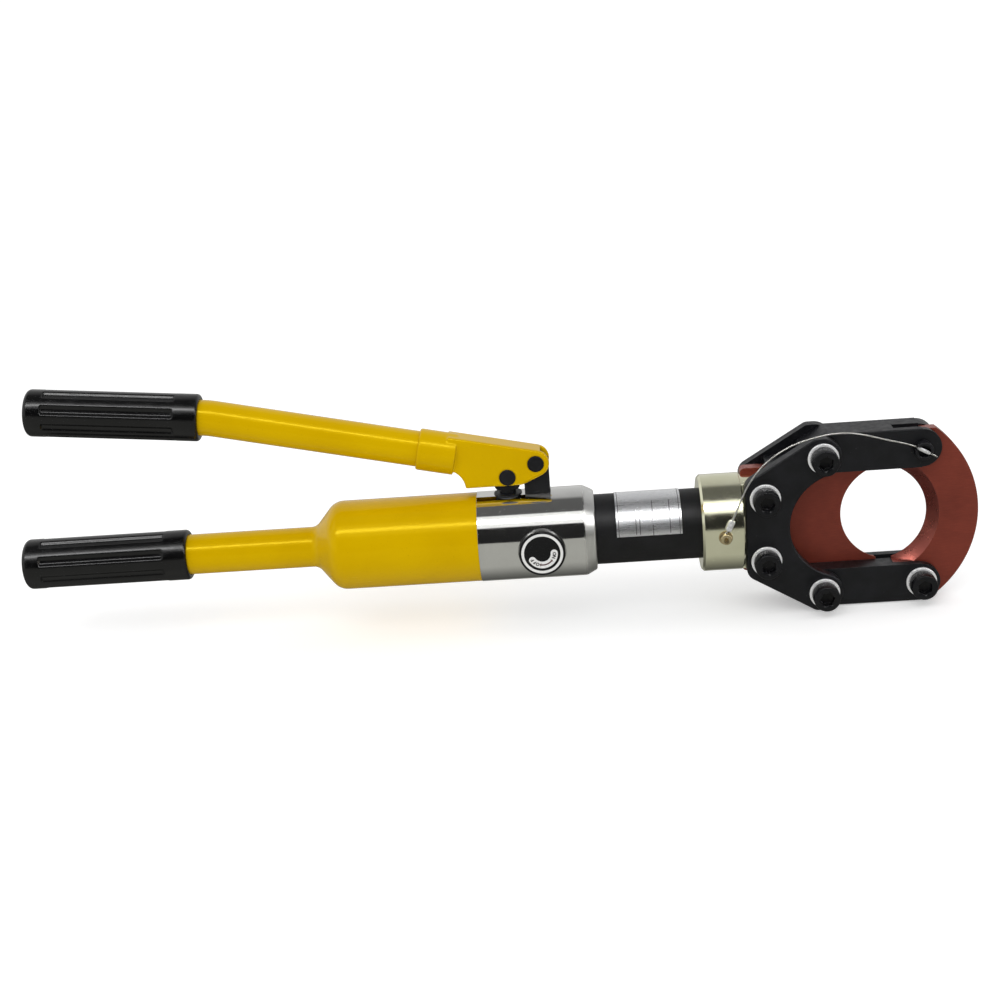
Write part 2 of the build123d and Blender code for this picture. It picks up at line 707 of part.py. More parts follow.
# ---------------------------------------------------------------- hand pump lever


def lever_point(u, w):
    """Point in X and Z from the lever's own axes: u towards the hand, w square to it, from the hinge."""
    tilt = radians(TILT_DEG)
    return (
        HINGE_X - u * cos(tilt) + w * sin(tilt),
        HINGE_Z + u * sin(tilt) + w * cos(tilt),
    )


def lever_cylinder(radius, u0, u1):
    centre = lever_point((u0 + u1) / 2, LEVER_AXIS_W)
    return Pos(centre[0], 0, centre[1]) * Rot(0, 90 + TILT_DEG, 0) * Cylinder(radius, u1 - u0)


def lever_bracket():
    """Upright on the pump body: a round eye for the hinge pin over a square post with a screwed stud."""
    post = shape_xz(
        [
            (HINGE_X - HEAD_HALF_X, SEAT_FLAT_Z),
            (HINGE_X + HEAD_HALF_X, SEAT_FLAT_Z),
            (HINGE_X + HEAD_HALF_X, HINGE_Z + 0.8),
            (HINGE_X - HEAD_HALF_X, HINGE_Z + 0.8),
        ]
    )
    post = post + circle_at(BRACKET_TOP_R, HINGE_X, HINGE_Z)
    bracket = slab(post, -HEAD_HALF_Y, HEAD_HALF_Y)
    bracket = bracket + along_z(5.0, SEAT_FLAT_Z - 10.5, SEAT_FLAT_Z + 1, HINGE_X)
    return bracket - along_y(PIN_R + RUN_GAP, -20, 20, HINGE_X, HINGE_Z)


def clevis_pin(x, z):
    """Headed pin pressed into the fork's cheeks, heads sunk into their counterbores."""
    half = FORK_HALF_Y + 0.5
    pin = along_y(PIN_R, -half, half, x, z)
    for side in (1, -1):
        inner = side * (FORK_HALF_Y - 1.0)
        outer = side * half
        head = along_y(PIN_HEAD_R, min(inner, outer), max(inner, outer), x, z)
        head = chamfer(round_edges_at(head, Axis.Y, outer, (4.9, 5.1)), 0.4)
        pin = pin + head
    return pin


def lever_fork():
    """Cast fork: two cheeks with a web above them, running back into a round socket for the tube."""
    low = radians(24.0)
    flat_z = 33.8
    tangent_low = (HINGE_X + FORK_TOP * sin(low), HINGE_Z - FORK_TOP * cos(low))
    knee_x = tangent_low[0] - (tangent_low[1] - flat_z) / tan(low)
    top_tangent = lever_point(0, FORK_TOP)
    side_dir = radians(-24.0)
    mid_arc = (HINGE_X + FORK_TOP * cos(side_dir / 2), HINGE_Z - FORK_TOP * sin(-side_dir / 2))
    toe = (-253.2, flat_z)
    heel = (-261.2, 45.4)
    outline = make_face(
        [
            Line(toe, (knee_x, flat_z)),
            Line((knee_x, flat_z), tangent_low),
            ThreePointArc(tangent_low, mid_arc, top_tangent),
            Line(top_tangent, lever_point(55, FORK_TOP)),
            Line(lever_point(55, FORK_TOP), lever_point(55, -8)),
            Line(lever_point(55, -8), heel),
            ThreePointArc(heel, (-255.9, 41.4), toe),
        ]
    )
    knee = outline.vertices().sort_by_distance(Vector(knee_x, flat_z, 0))[0]
    outline = fillet([knee], 9)
    fork = slab(outline, -FORK_HALF_Y, FORK_HALF_Y)
    rims = [e for e in fork.edges() if abs(abs(e.center().Y) - FORK_HALF_Y) < 0.01]
    far = lever_point(55, 0)[0] + 0.5
    rims = [e for e in rims if e.center().X > far and not abs(e.center().X - far) < 3]
    fork = fillet(rims, 1.6)
    collar = lever_cylinder(LEVER_COLLAR_R, COLLAR_U0, COLLAR_U1)
    collar_end = lever_point(COLLAR_U1, LEVER_AXIS_W)
    rounds = collar.edges().filter_by(GeomType.CIRCLE)
    collar = fillet([e for e in rounds if abs(e.arc_center.X - collar_end[0]) < 1], 1.2)
    fork = fork + collar
    fork = fork - fork_hollow()
    fork = fork - lever_cylinder(LEVER_TUBE_R, 50.5, 90)
    for x, z in ((HINGE_X, HINGE_Z), (LINK_PIN_X, LINK_PIN_Z)):
        fork = fork - along_y(PIN_R, -20, 20, x, z)
        fork = fork - along_y(PIN_HEAD_R + 0.1, -20, -FORK_HALF_Y + 1.0, x, z)
        fork = fork - along_y(PIN_HEAD_R + 0.1, FORK_HALF_Y - 1.0, 20, x, z)
    return fork


def fork_hollow():
    """Space between the cheeks, under the web, and open past the web's end."""
    low = -40
    ahead = -30
    under_web = ((ahead, low), (36, low), (36, WEB_UNDER), (ahead, WEB_UNDER))
    past_web = ((ahead, low), (-1.6, low), (-1.6, 20), (ahead, 20))
    under = shape_xz([lever_point(u, w) for u, w in under_web])
    past = shape_xz([lever_point(u, w) for u, w in past_web])
    return slab(under + past, -FORK_SLOT_Y, FORK_SLOT_Y)


def grip_axis():
    """Start of the grip's straight and its direction, past the bend in the lever tube."""
    slope = radians(GRIP_UP_DEG)
    start = lever_point(0, LEVER_AXIS_W)
    along = (start[0] - BEND_X) / cos(radians(TILT_DEG))
    bend = lever_point(along, LEVER_AXIS_W)
    return bend, (-cos(slope), sin(slope))


def lever_tube():
    bend, direction = grip_axis()
    start = lever_point(50.6, LEVER_AXIS_W)
    reach = GRIP_UP_LENGTH + 2.0
    end = (bend[0] + reach * direction[0], bend[1] + reach * direction[1])
    points = [Vector(p[0], 0, p[1]) for p in (start, bend, end)]
    path = FilletPolyline(*points, radius=55)
    section = Plane(path @ 0, z_dir=path % 0)
    outer = sweep(section * Circle(LEVER_TUBE_R), path)
    inner = sweep(section * Circle(LEVER_TUBE_R - 2.3), path)
    return outer - inner


def grip(radius, length, bore_r, bore_length):
    """Moulded hand grip from the origin along +Z: ribbed, a plain band at each end, closed far end."""
    body = Pos(0, 0, length / 2) * Cylinder(radius, length)
    body = fillet([e for e in body.edges() if abs(e.center().Z - length) < 0.01], 3.2)
    body = fillet([e for e in body.edges() if abs(e.center().Z) < 0.01], 2.2)
    flute_length = length - GRIP_NEAR_BAND - GRIP_FAR_BAND
    cutter = 8.0
    middle = Pos(radius - GRIP_FLUTE_DEPTH + cutter / 2, 0, GRIP_NEAR_BAND + flute_length / 2)
    flute = middle * Box(cutter, 2 * GRIP_FLUTE_HALF, flute_length)
    flute = fillet(flute.edges().filter_by(Axis.Z).sort_by(Axis.X)[:2], 0.9)
    for i in range(GRIP_FLUTES):
        body = body - Rot(0, 0, 360 / GRIP_FLUTES * (i + 0.5)) * flute
    return body - Pos(0, 0, bore_length / 2) * Cylinder(bore_r, bore_length)


def upper_grip():
    bend, direction = grip_axis()
    start = (bend[0] + GRIP_GAP * direction[0], 0, bend[1] + GRIP_GAP * direction[1])
    frame = Plane(start, x_dir=(0, 1, 0), z_dir=(direction[0], 0, direction[1]))
    return frame * grip(GRIP_UP_R, GRIP_UP_LENGTH, LEVER_TUBE_R, GRIP_UP_LENGTH - 3)


def plunger():
    """Pump plunger: a round rod under a flat head whose slot lets the link pin swing through its arc."""
    top = LINK_PIN_Z + 6.2
    head = block(
        PLUNGER_X - HEAD_HALF_X, PLUNGER_X + HEAD_HALF_X, -HEAD_HALF_Y, HEAD_HALF_Y, PLUNGER_HEAD_Z, top
    )
    head = fillet([e for e in head.edges().filter_by(Axis.Y)], 3.0)
    body = head + along_z(PLUNGER_R, PLUNGER_FOOT_Z, PLUNGER_HEAD_Z + 2, PLUNGER_X)
    slot = Pos(PLUNGER_X, LINK_PIN_Z) * SlotOverall(2 * PIN_R + 3.2, 2 * PIN_R + 0.7)
    return body - slab(slot, -20, 20)


def plunger_gland():
    gland = along_z(8.5, SEAT_FLAT_Z - 5, SEAT_FLAT_Z + 0.6, PLUNGER_X)
    return gland - along_z(PLUNGER_R + RUN_GAP, 0, 40, PLUNGER_X)


def plunger_seal():
    seal = along_z(8.4, SEAT_FLAT_Z - 9.1, SEAT_FLAT_Z - 5.1, PLUNGER_X)
    return seal - along_z(PLUNGER_R + 0.03, 0, 40, PLUNGER_X)


# ---------------------------------------------------------------- tank and lower handle


def shell_profile(radius, neck_r, inset):
    """Half profile of the tank: barrel, rounded shoulder, cone, fillet and handle tube."""
    cone = radians(CONE_DEG)
    shoulder_r = 11.0 - inset
    fillet_r = 7.0 + inset
    arc_end = (
        CONE_START_X - shoulder_r * sin(cone),
        radius - shoulder_r + shoulder_r * cos(cone),
    )
    arc_mid = (
        CONE_START_X - shoulder_r * sin(cone / 2),
        radius - shoulder_r + shoulder_r * cos(cone / 2),
    )
    drop = arc_end[1] - (neck_r + fillet_r * (1 - cos(cone)))
    foot = (arc_end[0] - drop / tan(cone), arc_end[1] - drop)
    neck = (foot[0] - fillet_r * sin(cone), neck_r)
    neck_mid = (
        neck[0] + fillet_r * sin(cone / 2),
        neck_r + fillet_r * (1 - cos(cone / 2)),
    )
    return arc_mid, arc_end, foot, neck_mid, neck


def tank():
    """Oil tank drawn down to the tube of the lower handle, screwed over the pump body's spigot."""
    left = GRIP_LOW_LEFT_X + 3.5
    wall = TANK_R - SPIGOT_R
    o = shell_profile(TANK_R, HANDLE_R, 0)
    i = shell_profile(SPIGOT_R, HANDLE_R - wall, wall)
    face = make_face(
        [
            Line((BODY_LEFT_X, SPIGOT_R), (BODY_LEFT_X, TANK_R)),
            Line((BODY_LEFT_X, TANK_R), (CONE_START_X, TANK_R)),
            ThreePointArc((CONE_START_X, TANK_R), o[0], o[1]),
            Line(o[1], o[2]),
            ThreePointArc(o[2], o[3], o[4]),
            Line(o[4], (left, HANDLE_R)),
            Line((left, HANDLE_R), (left, HANDLE_R - wall)),
            Line((left, HANDLE_R - wall), i[4]),
            ThreePointArc(i[4], i[3], i[2]),
            Line(i[2], i[1]),
            ThreePointArc(i[1], i[0], (CONE_START_X, SPIGOT_R)),
            Line((CONE_START_X, SPIGOT_R), (BODY_LEFT_X, SPIGOT_R)),
        ]
    )
    return revolve(face, Axis.X)


def tank_seal():
    return Pos(-252.5, 0, 0) * Rot(0, 90, 0) * Torus(23.65, 1.35)


def oil_bladder():
    """Rubber bag that holds the oil, its mouth pulled over the pump body's nose."""
    wall = 1.6
    outer = turned(
        [
            (-261.5, NOSE_R),
            (-261.5, NOSE_R + wall),
            (-269.0, NOSE_R + wall),
            (-278.0, 21.0),
            (-326.0, 21.0),
            (-338.0, 12.0),
            (-338.0, 0),
            (-336.4, 0),
            (-336.4, 11.2),
            (-325.4, 19.4),
            (-278.8, 19.4),
            (-269.7, NOSE_R),
        ]
    )
    return outer


def bladder_clamp():
    band = ring_x(15.0, NOSE_R + 1.6, -266.0, -262.5)
    screw_lug = block(-265.7, -262.8, -3.0, 3.0, 14.4, 17.5)
    return band + screw_lug


def lower_grip():
    length = GRIP_LOW_RIGHT_X - GRIP_LOW_LEFT_X
    frame = Plane((GRIP_LOW_RIGHT_X, 0, 0), x_dir=(0, 1, 0), z_dir=(-1, 0, 0))
    return frame * grip(GRIP_LOW_R, length, HANDLE_R, length - 3.5)


def write(name, shape):
    """One STEP file per node. A list of solids becomes one node."""
    solids = shape if isinstance(shape, list) else [shape]
    loose = [s for item in solids for s in item.solids()]
    export_step(loose[0] if len(loose) == 1 else Compound(children=loose), f"parts/{name}.step")


os.makedirs("parts", exist_ok=True)

write("front_side_plate", side_plate(front=True))
write("rear_side_plate", side_plate(front=False))
write("upper_guide_bar", guide_bar(1, M10_R))
write("lower_guide_bar", guide_bar(-1, M10_R))
write("fixed_blade", fixed_blade())
write("moving_blade", moving_blade())
write("plate_bolts", plate_bolts())
write("spring_washers", spring_washers())
write("blade_pivot_bolt", blade_pivot_bolt())
write("latch_pin", latch_pin())
write("lanyard_ferrule", lanyard_ferrule())
write("head_collar", head_collar())
write("lanyard_screw", lanyard_screw())
write("lanyard_wire", lanyard_wire())
write("lanyard_crimp", lanyard_crimp())
write("cylinder_tube", cylinder_tube())
write("nameplate", nameplate())
write("ram", ram())
write("ram_link_pin", ram_link_pin())
write("piston_seal", piston_seal())
write("ram_gland", ram_gland())
write("rod_seal", rod_seal())
write("rod_wiper", rod_wiper())
write("return_spring", return_spring())
write("pump_body", pump_body())
write("suction_seat", suction_seat())
write("suction_ball", suction_ball())
write("suction_spring", suction_spring())
write("intake_strainer", intake_strainer())
write("delivery_ball", delivery_ball())
write("delivery_spring", delivery_spring())
write("delivery_plug", delivery_plug())
write("relief_ball", relief_ball())
write("relief_spring", relief_spring())
write("relief_screw", relief_screw())
write("release_spindle", release_spindle())
write("release_ball", release_ball())
write("release_knob", release_knob())
write("knob_dial", knob_dial())
write("lever_bracket", lever_bracket())
write("hinge_pin", clevis_pin(HINGE_X, HINGE_Z))
write("plunger_link_pin", clevis_pin(LINK_PIN_X, LINK_PIN_Z))
write("lever_fork", lever_fork())
write("lever_tube", lever_tube())
write("upper_grip", upper_grip())
write("plunger", plunger())
write("plunger_gland", plunger_gland())
write("plunger_seal", plunger_seal())
write("tank", tank())
write("tank_seal", tank_seal())
write("oil_bladder", oil_bladder())
write("bladder_clamp", bladder_clamp())
write("lower_grip", lower_grip())
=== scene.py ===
"""Looks of the hand hydraulic cable cutter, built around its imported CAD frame.

Metres. The cutting eye is at the origin, the handles lie towards -X, the bolt heads face -Y.
"""

import json
import math

import bmesh
import bpy
from mathutils import Matrix, Vector


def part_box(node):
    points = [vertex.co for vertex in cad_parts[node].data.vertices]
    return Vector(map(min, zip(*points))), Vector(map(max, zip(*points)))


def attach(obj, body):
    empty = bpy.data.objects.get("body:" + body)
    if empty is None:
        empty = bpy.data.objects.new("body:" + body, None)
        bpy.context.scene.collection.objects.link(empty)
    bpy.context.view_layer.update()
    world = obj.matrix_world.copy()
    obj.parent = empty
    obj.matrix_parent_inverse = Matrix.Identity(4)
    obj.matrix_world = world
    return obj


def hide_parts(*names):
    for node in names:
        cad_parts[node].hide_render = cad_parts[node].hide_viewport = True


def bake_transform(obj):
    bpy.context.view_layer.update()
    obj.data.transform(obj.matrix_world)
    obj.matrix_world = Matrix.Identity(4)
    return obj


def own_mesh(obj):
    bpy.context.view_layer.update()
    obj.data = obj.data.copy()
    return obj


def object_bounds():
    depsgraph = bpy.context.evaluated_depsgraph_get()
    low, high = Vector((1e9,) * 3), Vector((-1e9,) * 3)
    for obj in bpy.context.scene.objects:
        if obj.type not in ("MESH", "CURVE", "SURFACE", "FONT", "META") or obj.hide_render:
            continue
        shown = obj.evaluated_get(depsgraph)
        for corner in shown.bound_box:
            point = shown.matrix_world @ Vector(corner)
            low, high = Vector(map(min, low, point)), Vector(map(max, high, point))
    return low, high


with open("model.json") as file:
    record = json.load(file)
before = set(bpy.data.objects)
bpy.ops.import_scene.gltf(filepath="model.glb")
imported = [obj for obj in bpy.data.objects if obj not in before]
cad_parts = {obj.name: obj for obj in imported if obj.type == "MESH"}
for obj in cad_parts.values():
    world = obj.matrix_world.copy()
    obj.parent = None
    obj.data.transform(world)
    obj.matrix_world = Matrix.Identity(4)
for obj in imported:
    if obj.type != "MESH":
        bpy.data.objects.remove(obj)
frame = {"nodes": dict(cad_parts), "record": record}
CAD_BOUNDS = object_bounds()
MM = 0.001
FRONT = Vector((0, -1, 0))
scene = bpy.context.scene


# ---------------------------------------------------------------- node helpers


class Nodes:
    """A node tree built step by step. Inputs may be numbers, colours or another node's output."""

    def __init__(self, tree):
        self.tree = tree
        self.tree.nodes.clear()

    def node(self, kind, props=None, inputs=()):
        made = self.tree.nodes.new(kind)
        for key, value in (props or {}).items():
            setattr(made, key, value)
        for key, value in dict(inputs).items():
            self.feed(made.inputs[key], value)
        return made

    def feed(self, socket, value):
        if isinstance(value, bpy.types.NodeSocket):
            self.tree.links.new(value, socket)
        elif isinstance(value, (tuple, list)) and len(value) == 3 and socket.type == "RGBA":
            socket.default_value = (*value, 1)
        else:
            socket.default_value = value

    def math(self, operation, a, b=0.0):
        return self.node("ShaderNodeMath", {"operation": operation}, {0: a, 1: b}).outputs[0]

    def map(self, value, low, high, out_low=0.0, out_high=1.0):
        """Value from one range to another, held at both ends."""
        numbers = {"Value": value, "From Min": low, "From Max": high}
        numbers.update({"To Min": out_low, "To Max": out_high})
        return self.node("ShaderNodeMapRange", {"clamp": True}, numbers).outputs[0]

    def mix(self, factor, a, b):
        return self.node("ShaderNodeMix", {"data_type": "RGBA"}, {0: factor, 6: a, 7: b}).outputs[2]

    def axes(self, vector):
        return self.node("ShaderNodeSeparateXYZ", inputs={"Vector": vector}).outputs

    def gradient(self, factor, stops):
        """Colour ramp through (position, brightness) stops."""
        made = self.node("ShaderNodeValToRGB", inputs={"Fac": factor})
        points = made.color_ramp.elements
        while len(points) < len(stops):
            points.new(0.5)
        for point, (position, level) in zip(points, stops):
            point.position = position
            point.color = (level, level, level, 1)
        return made.outputs["Color"]


class Look(Nodes):
    """A surface material. Patterns are laid out in the object's own coordinates."""

    def __init__(self, name):
        self.material = bpy.data.materials.new(name)
        self.material.use_nodes = True
        super().__init__(self.material.node_tree)
        self.place = self.node("ShaderNodeTexCoord").outputs["Object"]

    def scaled(self, x, y, z):
        """Coordinates stretched along each axis, for grain that runs one way."""
        inputs = {"Vector": self.place, "Scale": (x, y, z)}
        return self.node("ShaderNodeMapping", inputs=inputs).outputs[0]

    def noise(self, scale, detail=3.0, rough=0.55, vector=None):
        inputs = {"Vector": vector or self.place, "Scale": scale, "Detail": detail, "Roughness": rough}
        return self.node("ShaderNodeTexNoise", inputs=inputs).outputs["Fac"]

    def rounded(self, radius):
        """Normal that softens every edge over a radius."""
        return self.node("ShaderNodeBevel", {"samples": 4}, {"Radius": radius}).outputs[0]

    def edges(self, radius, low, high):
        """0 on open faces to 1 on edges, by how far the rounded normal leans from the true one."""
        flat = self.node("ShaderNodeNewGeometry").outputs["Normal"]
        both = {0: self.rounded(radius), 1: flat}
        lean = self.node("ShaderNodeVectorMath", {"operation": "DOT_PRODUCT"}, both).outputs["Value"]
        return self.map(self.math("SUBTRACT", 1.0, lean), low, high)

    def bump(self, height, distance, strength=1.0, edge_radius=0.3 * MM):
        inputs = {"Height": height, "Distance": distance, "Strength": strength}
        inputs["Normal"] = self.rounded(edge_radius)
        return self.node("ShaderNodeBump", inputs=inputs).outputs[0]

    def finish(self, **inputs):
        named = {key.replace("_", " "): value for key, value in inputs.items()}
        body = self.node("ShaderNodeBsdfPrincipled", inputs=named)
        output = self.node("ShaderNodeOutputMaterial")
        self.tree.links.new(body.outputs[0], output.inputs["Surface"])
        return self.material


def lighter(colour, times):
    return tuple(min(1.0, c * times) for c in colour)


# ---------------------------------------------------------------- materials


def enamel(name, colour, deep, chipped):
    """Thick glossy enamel: faint orange peel, soft mottling, thin scuffs, thinner film on the edges."""
    sheen = (1.0, 0.84, 0.06)
    s = Look(name)
    base = s.mix(s.map(s.noise(26, 4), 0.32, 0.7), colour, deep)
    speck = s.map(s.noise(900, 2), 0.66, 0.74, 0.0, 0.25)
    base = s.mix(speck, base, lighter(deep, 0.6))
    thin = s.math("MULTIPLY", s.edges(0.9 * MM, 0.08, 0.5), s.map(s.noise(240, 4), 0.3, 0.6, 0.1, 0.5))
    base = s.mix(thin, base, chipped)
    scuff = s.map(s.noise(1.0, 3, 0.6, s.scaled(60, 900, 900)), 0.62, 0.74, 0.0, 0.14)
    roughness = s.math("ADD", s.map(s.noise(200, 3), 0.3, 0.7, 0.12, 0.18), scuff)
    peel = s.bump(s.noise(620, 2), 0.03 * MM, 0.25, 0.5 * MM)
    return s.finish(Base_Color=base, Roughness=roughness, Normal=peel, Specular_Tint=sheen)


def oxide(name, colour, worn_colour, rough, wear):
    """Blackened steel: mottled oil-dipped black, fine mill grain, rubbed edges and odd light nicks."""
    s = Look(name)
    blotch = s.map(s.noise(70, 5, 0.6), 0.35, 0.7)
    base = s.mix(blotch, colour, lighter(colour, 1.9))
    rub = s.math("MULTIPLY", s.edges(0.7 * MM, 0.05, 0.4), s.map(s.noise(380, 4, 0.65), 0.45, 0.68))
    nick = s.map(s.noise(1.0, 2, 0.5, s.scaled(500, 900, 1300)), 0.74, 0.79, 0.0, 0.5)
    base = s.mix(s.math("MAXIMUM", s.math("MULTIPLY", rub, wear), nick), base, worn_colour)
    roughness = s.map(s.noise(240, 4), 0.3, 0.7, rough, rough + 0.16)
    grain = s.noise(1.0, 3, 0.6, s.scaled(240, 2400, 2400))
    height = s.math("ADD", grain, s.math("MULTIPLY", s.noise(1500, 2), 0.6))
    normal = s.bump(height, 0.03 * MM, 0.5)
    return s.finish(
        Base_Color=base, Metallic=0.15, Roughness=roughness, Specular_IOR_Level=0.3, Normal=normal
    )


def turned_metal(name, colour, tint, rough, smudge=0.06, satin_from=1.0):
    """Metal turned about X: tool rings, smudges, worn arrises, and a satin cut past one X if asked."""
    s = Look(name)
    along = s.math("MULTIPLY", s.axes(s.place)["X"], 3000.0)
    inputs = {"W": along, "Scale": 1.0, "Detail": 4.0}
    ring = s.node("ShaderNodeTexNoise", {"noise_dimensions": "1D"}, inputs).outputs["Fac"]
    base = s.mix(s.map(s.noise(55, 4), 0.35, 0.7), colour, tint)
    base = s.mix(s.math("MULTIPLY", s.edges(0.5 * MM, 0.05, 0.4), 0.6), base, lighter(colour, 1.25))
    smear = s.map(s.noise(140, 5, 0.6), 0.4, 0.75, 0.0, smudge)
    satin = s.map(s.axes(s.place)["X"], satin_from, satin_from + 1.5 * MM, 0.0, 0.26)
    roughness = s.math("ADD", s.map(ring, 0.3, 0.7, rough, rough + 0.05), s.math("ADD", smear, satin))
    normal = s.bump(ring, 0.006 * MM, 0.35)
    return s.finish(Base_Color=base, Metallic=1.0, Roughness=roughness, Normal=normal)


def plain_metal(name, colour, tint, rough):
    """Small steel parts: satin metal with fine grain, darker stains and brighter edges."""
    s = Look(name)
    base = s.mix(s.map(s.noise(160, 5, 0.6), 0.4, 0.7), colour, tint)
    base = s.mix(s.math("MULTIPLY", s.edges(0.4 * MM, 0.05, 0.4), 0.5), base, lighter(colour, 1.35))
    roughness = s.map(s.noise(900, 3), 0.3, 0.7, rough, rough + 0.12)
    normal = s.bump(s.noise(1800, 2), 0.01 * MM, 0.4, 0.15 * MM)
    return s.finish(Base_Color=base, Metallic=1.0, Roughness=roughness, Normal=normal)


def zinc_flake(name, colour, dull, rough, metal=0.85):
    """Bright passivated zinc: near-white, cloudy, softly crystalline."""
    s = Look(name)
    cells = s.node("ShaderNodeTexVoronoi", inputs={"Vector": s.place, "Scale": 900.0})
    cell = cells.outputs["Distance"]
    base = s.mix(s.map(cell, 0.0, 0.7, 0.0, 0.35), colour, dull)
    base = s.mix(s.map(s.noise(300, 4), 0.5, 0.75), base, dull)
    roughness = s.map(s.noise(700, 3), 0.3, 0.7, rough, rough + 0.15)
    normal = s.bump(cell, 0.008 * MM, 0.3, 0.2 * MM)
    return s.finish(Base_Color=base, Metallic=metal, Roughness=roughness, Normal=normal)


# Ruled lines of the nameplate: share of its length, then the first and last angle of the line round
# the tube, in radians above the front.
RULES = (
    (0.3, 0.1, 0.75),
    (0.36, 0.1, 0.75),
    (0.56, 0.05, 0.35),
    (0.56, 0.5, 1.1),
    (0.82, 0.1, 1.1),
)


def nameplate_sheet(name, colour, tint, ink):
    """Brushed aluminium label with a printed frame and a few blank ruled fields."""
    s = Look(name)
    line = s.noise(1.0, 4, 0.65, s.scaled(110, 4200, 4200))
    axes = s.axes(s.place)
    low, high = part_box("nameplate")
    from_left = s.math("SUBTRACT", axes["X"], low.x)
    edge = s.math("MINIMUM", from_left, s.math("SUBTRACT", high.x, axes["X"]))
    turn = s.math("ARCTAN2", axes["Z"], s.math("MULTIPLY", axes["Y"], -1.0))
    base = s.mix(s.map(line, 0.35, 0.65), colour, tint)
    outside = s.map(edge, 1.45 * MM, 1.6 * MM, 1.0, 0.0)
    printed = s.math("MULTIPLY", s.map(edge, 1.1 * MM, 1.25 * MM), outside)
    for share, start, stop in RULES:
        rule = s.math("ABSOLUTE", s.math("SUBTRACT", axes["X"], low.x + share * (high.x - low.x)))
        before_stop = s.map(turn, stop, stop + 0.02, 1.0, 0.0)
        within = s.math("MULTIPLY", s.map(turn, start, start + 0.02), before_stop)
        stroke = s.math("MULTIPLY", s.map(rule, 0.2 * MM, 0.28 * MM, 1.0, 0.0), within)
        printed = s.math("MAXIMUM", printed, s.math("MULTIPLY", stroke, 0.8))
    patchy = s.map(s.noise(800, 3), 0.3, 0.5, 0.6, 1.0)
    base = s.mix(s.math("MULTIPLY", printed, patchy), base, ink)
    roughness = s.map(line, 0.3, 0.7, 0.24, 0.36)
    normal = s.bump(line, 0.01 * MM, 0.5)
    return s.finish(Base_Color=base, Metallic=0.92, Roughness=roughness, Normal=normal)


def lacquered_blade(name, colour, ground, worn_colour, rough):
    """Red lacquer over tool steel: grinding lines show through, thin on the bevel, coppery edges."""
    s = Look(name)
    lines = s.noise(1.0, 4, 0.6, s.scaled(150, 150, 2600))
    base = s.mix(s.map(s.noise(38, 5, 0.6), 0.3, 0.75), colour, lighter(colour, 0.72))
    base = s.mix(s.map(lines, 0.45, 0.75, 0.0, 0.25), base, lighter(colour, 1.7))
    facing = s.math("ABSOLUTE", s.axes(s.node("ShaderNodeNewGeometry").outputs["True Normal"])["Y"])
    bevel = s.map(facing, 0.9, 0.97, 1.0, 0.0)
    base = s.mix(s.math("MULTIPLY", bevel, 0.85), base, ground)
    rub = s.math("MULTIPLY", s.edges(0.45 * MM, 0.06, 0.4), s.map(s.noise(300, 4), 0.3, 0.6, 0.2, 0.7))
    rub = s.math("MULTIPLY", rub, s.map(bevel, 0.0, 1.0, 1.0, 0.15))
    base = s.mix(rub, base, worn_colour)
    uneven = s.map(s.noise(200, 4), 0.3, 0.7, rough, rough + 0.12)
    roughness = s.math("SUBTRACT", uneven, s.math("MULTIPLY", bevel, 0.1))
    metal = s.map(bevel, 0.0, 1.0, 0.4, 0.8)
    normal = s.bump(lines, 0.02 * MM, s.map(bevel, 0.0, 1.0, 0.35, 0.03))
    return s.finish(
        Base_Color=base, Metallic=metal, Roughness=roughness, Specular_IOR_Level=0.3, Normal=normal
    )


def moulded(name, colour, rough, grain=700.0, strength=0.3, shine=0.3):
    """Moulded rubber or plastic: faint flow mottling, fine texture, hairline scuffs and dusty edges."""
    s = Look(name)
    base = s.mix(s.map(s.noise(60, 4), 0.35, 0.7), colour, lighter(colour, 1.8))
    dusty = s.math("MULTIPLY", s.edges(0.4 * MM, 0.1, 0.5), s.map(s.noise(90, 4), 0.45, 0.7, 0.0, 0.08))
    base = s.mix(dusty, base, lighter(colour, 7))
    scuff = s.map(s.noise(1.0, 3, 0.6, s.scaled(80, 700, 700)), 0.6, 0.75, 0.0, 0.1)
    roughness = s.math("ADD", s.map(s.noise(150, 3), 0.3, 0.7, rough, rough + 0.08), scuff)
    normal = s.bump(s.noise(grain, 3), 0.02 * MM, strength)
    return s.finish(Base_Color=base, Roughness=roughness, Specular_IOR_Level=shine, Normal=normal)


def printed_ink(name, colour, rough):
    """Screen-printed or foil marking: slightly uneven cover and a soft sheen."""
    s = Look(name)
    base = s.mix(s.map(s.noise(900, 3), 0.35, 0.7), colour, lighter(colour, 0.86))
    roughness = s.map(s.noise(400, 3), 0.3, 0.7, rough, rough + 0.1)
    normal = s.bump(s.noise(2000, 2), 0.005 * MM, 0.3)
    return s.finish(Base_Color=base, Roughness=roughness, Normal=normal)


SATIN_FROM = -183.5 * MM  # where the chromed body turns from polished to satin, along X

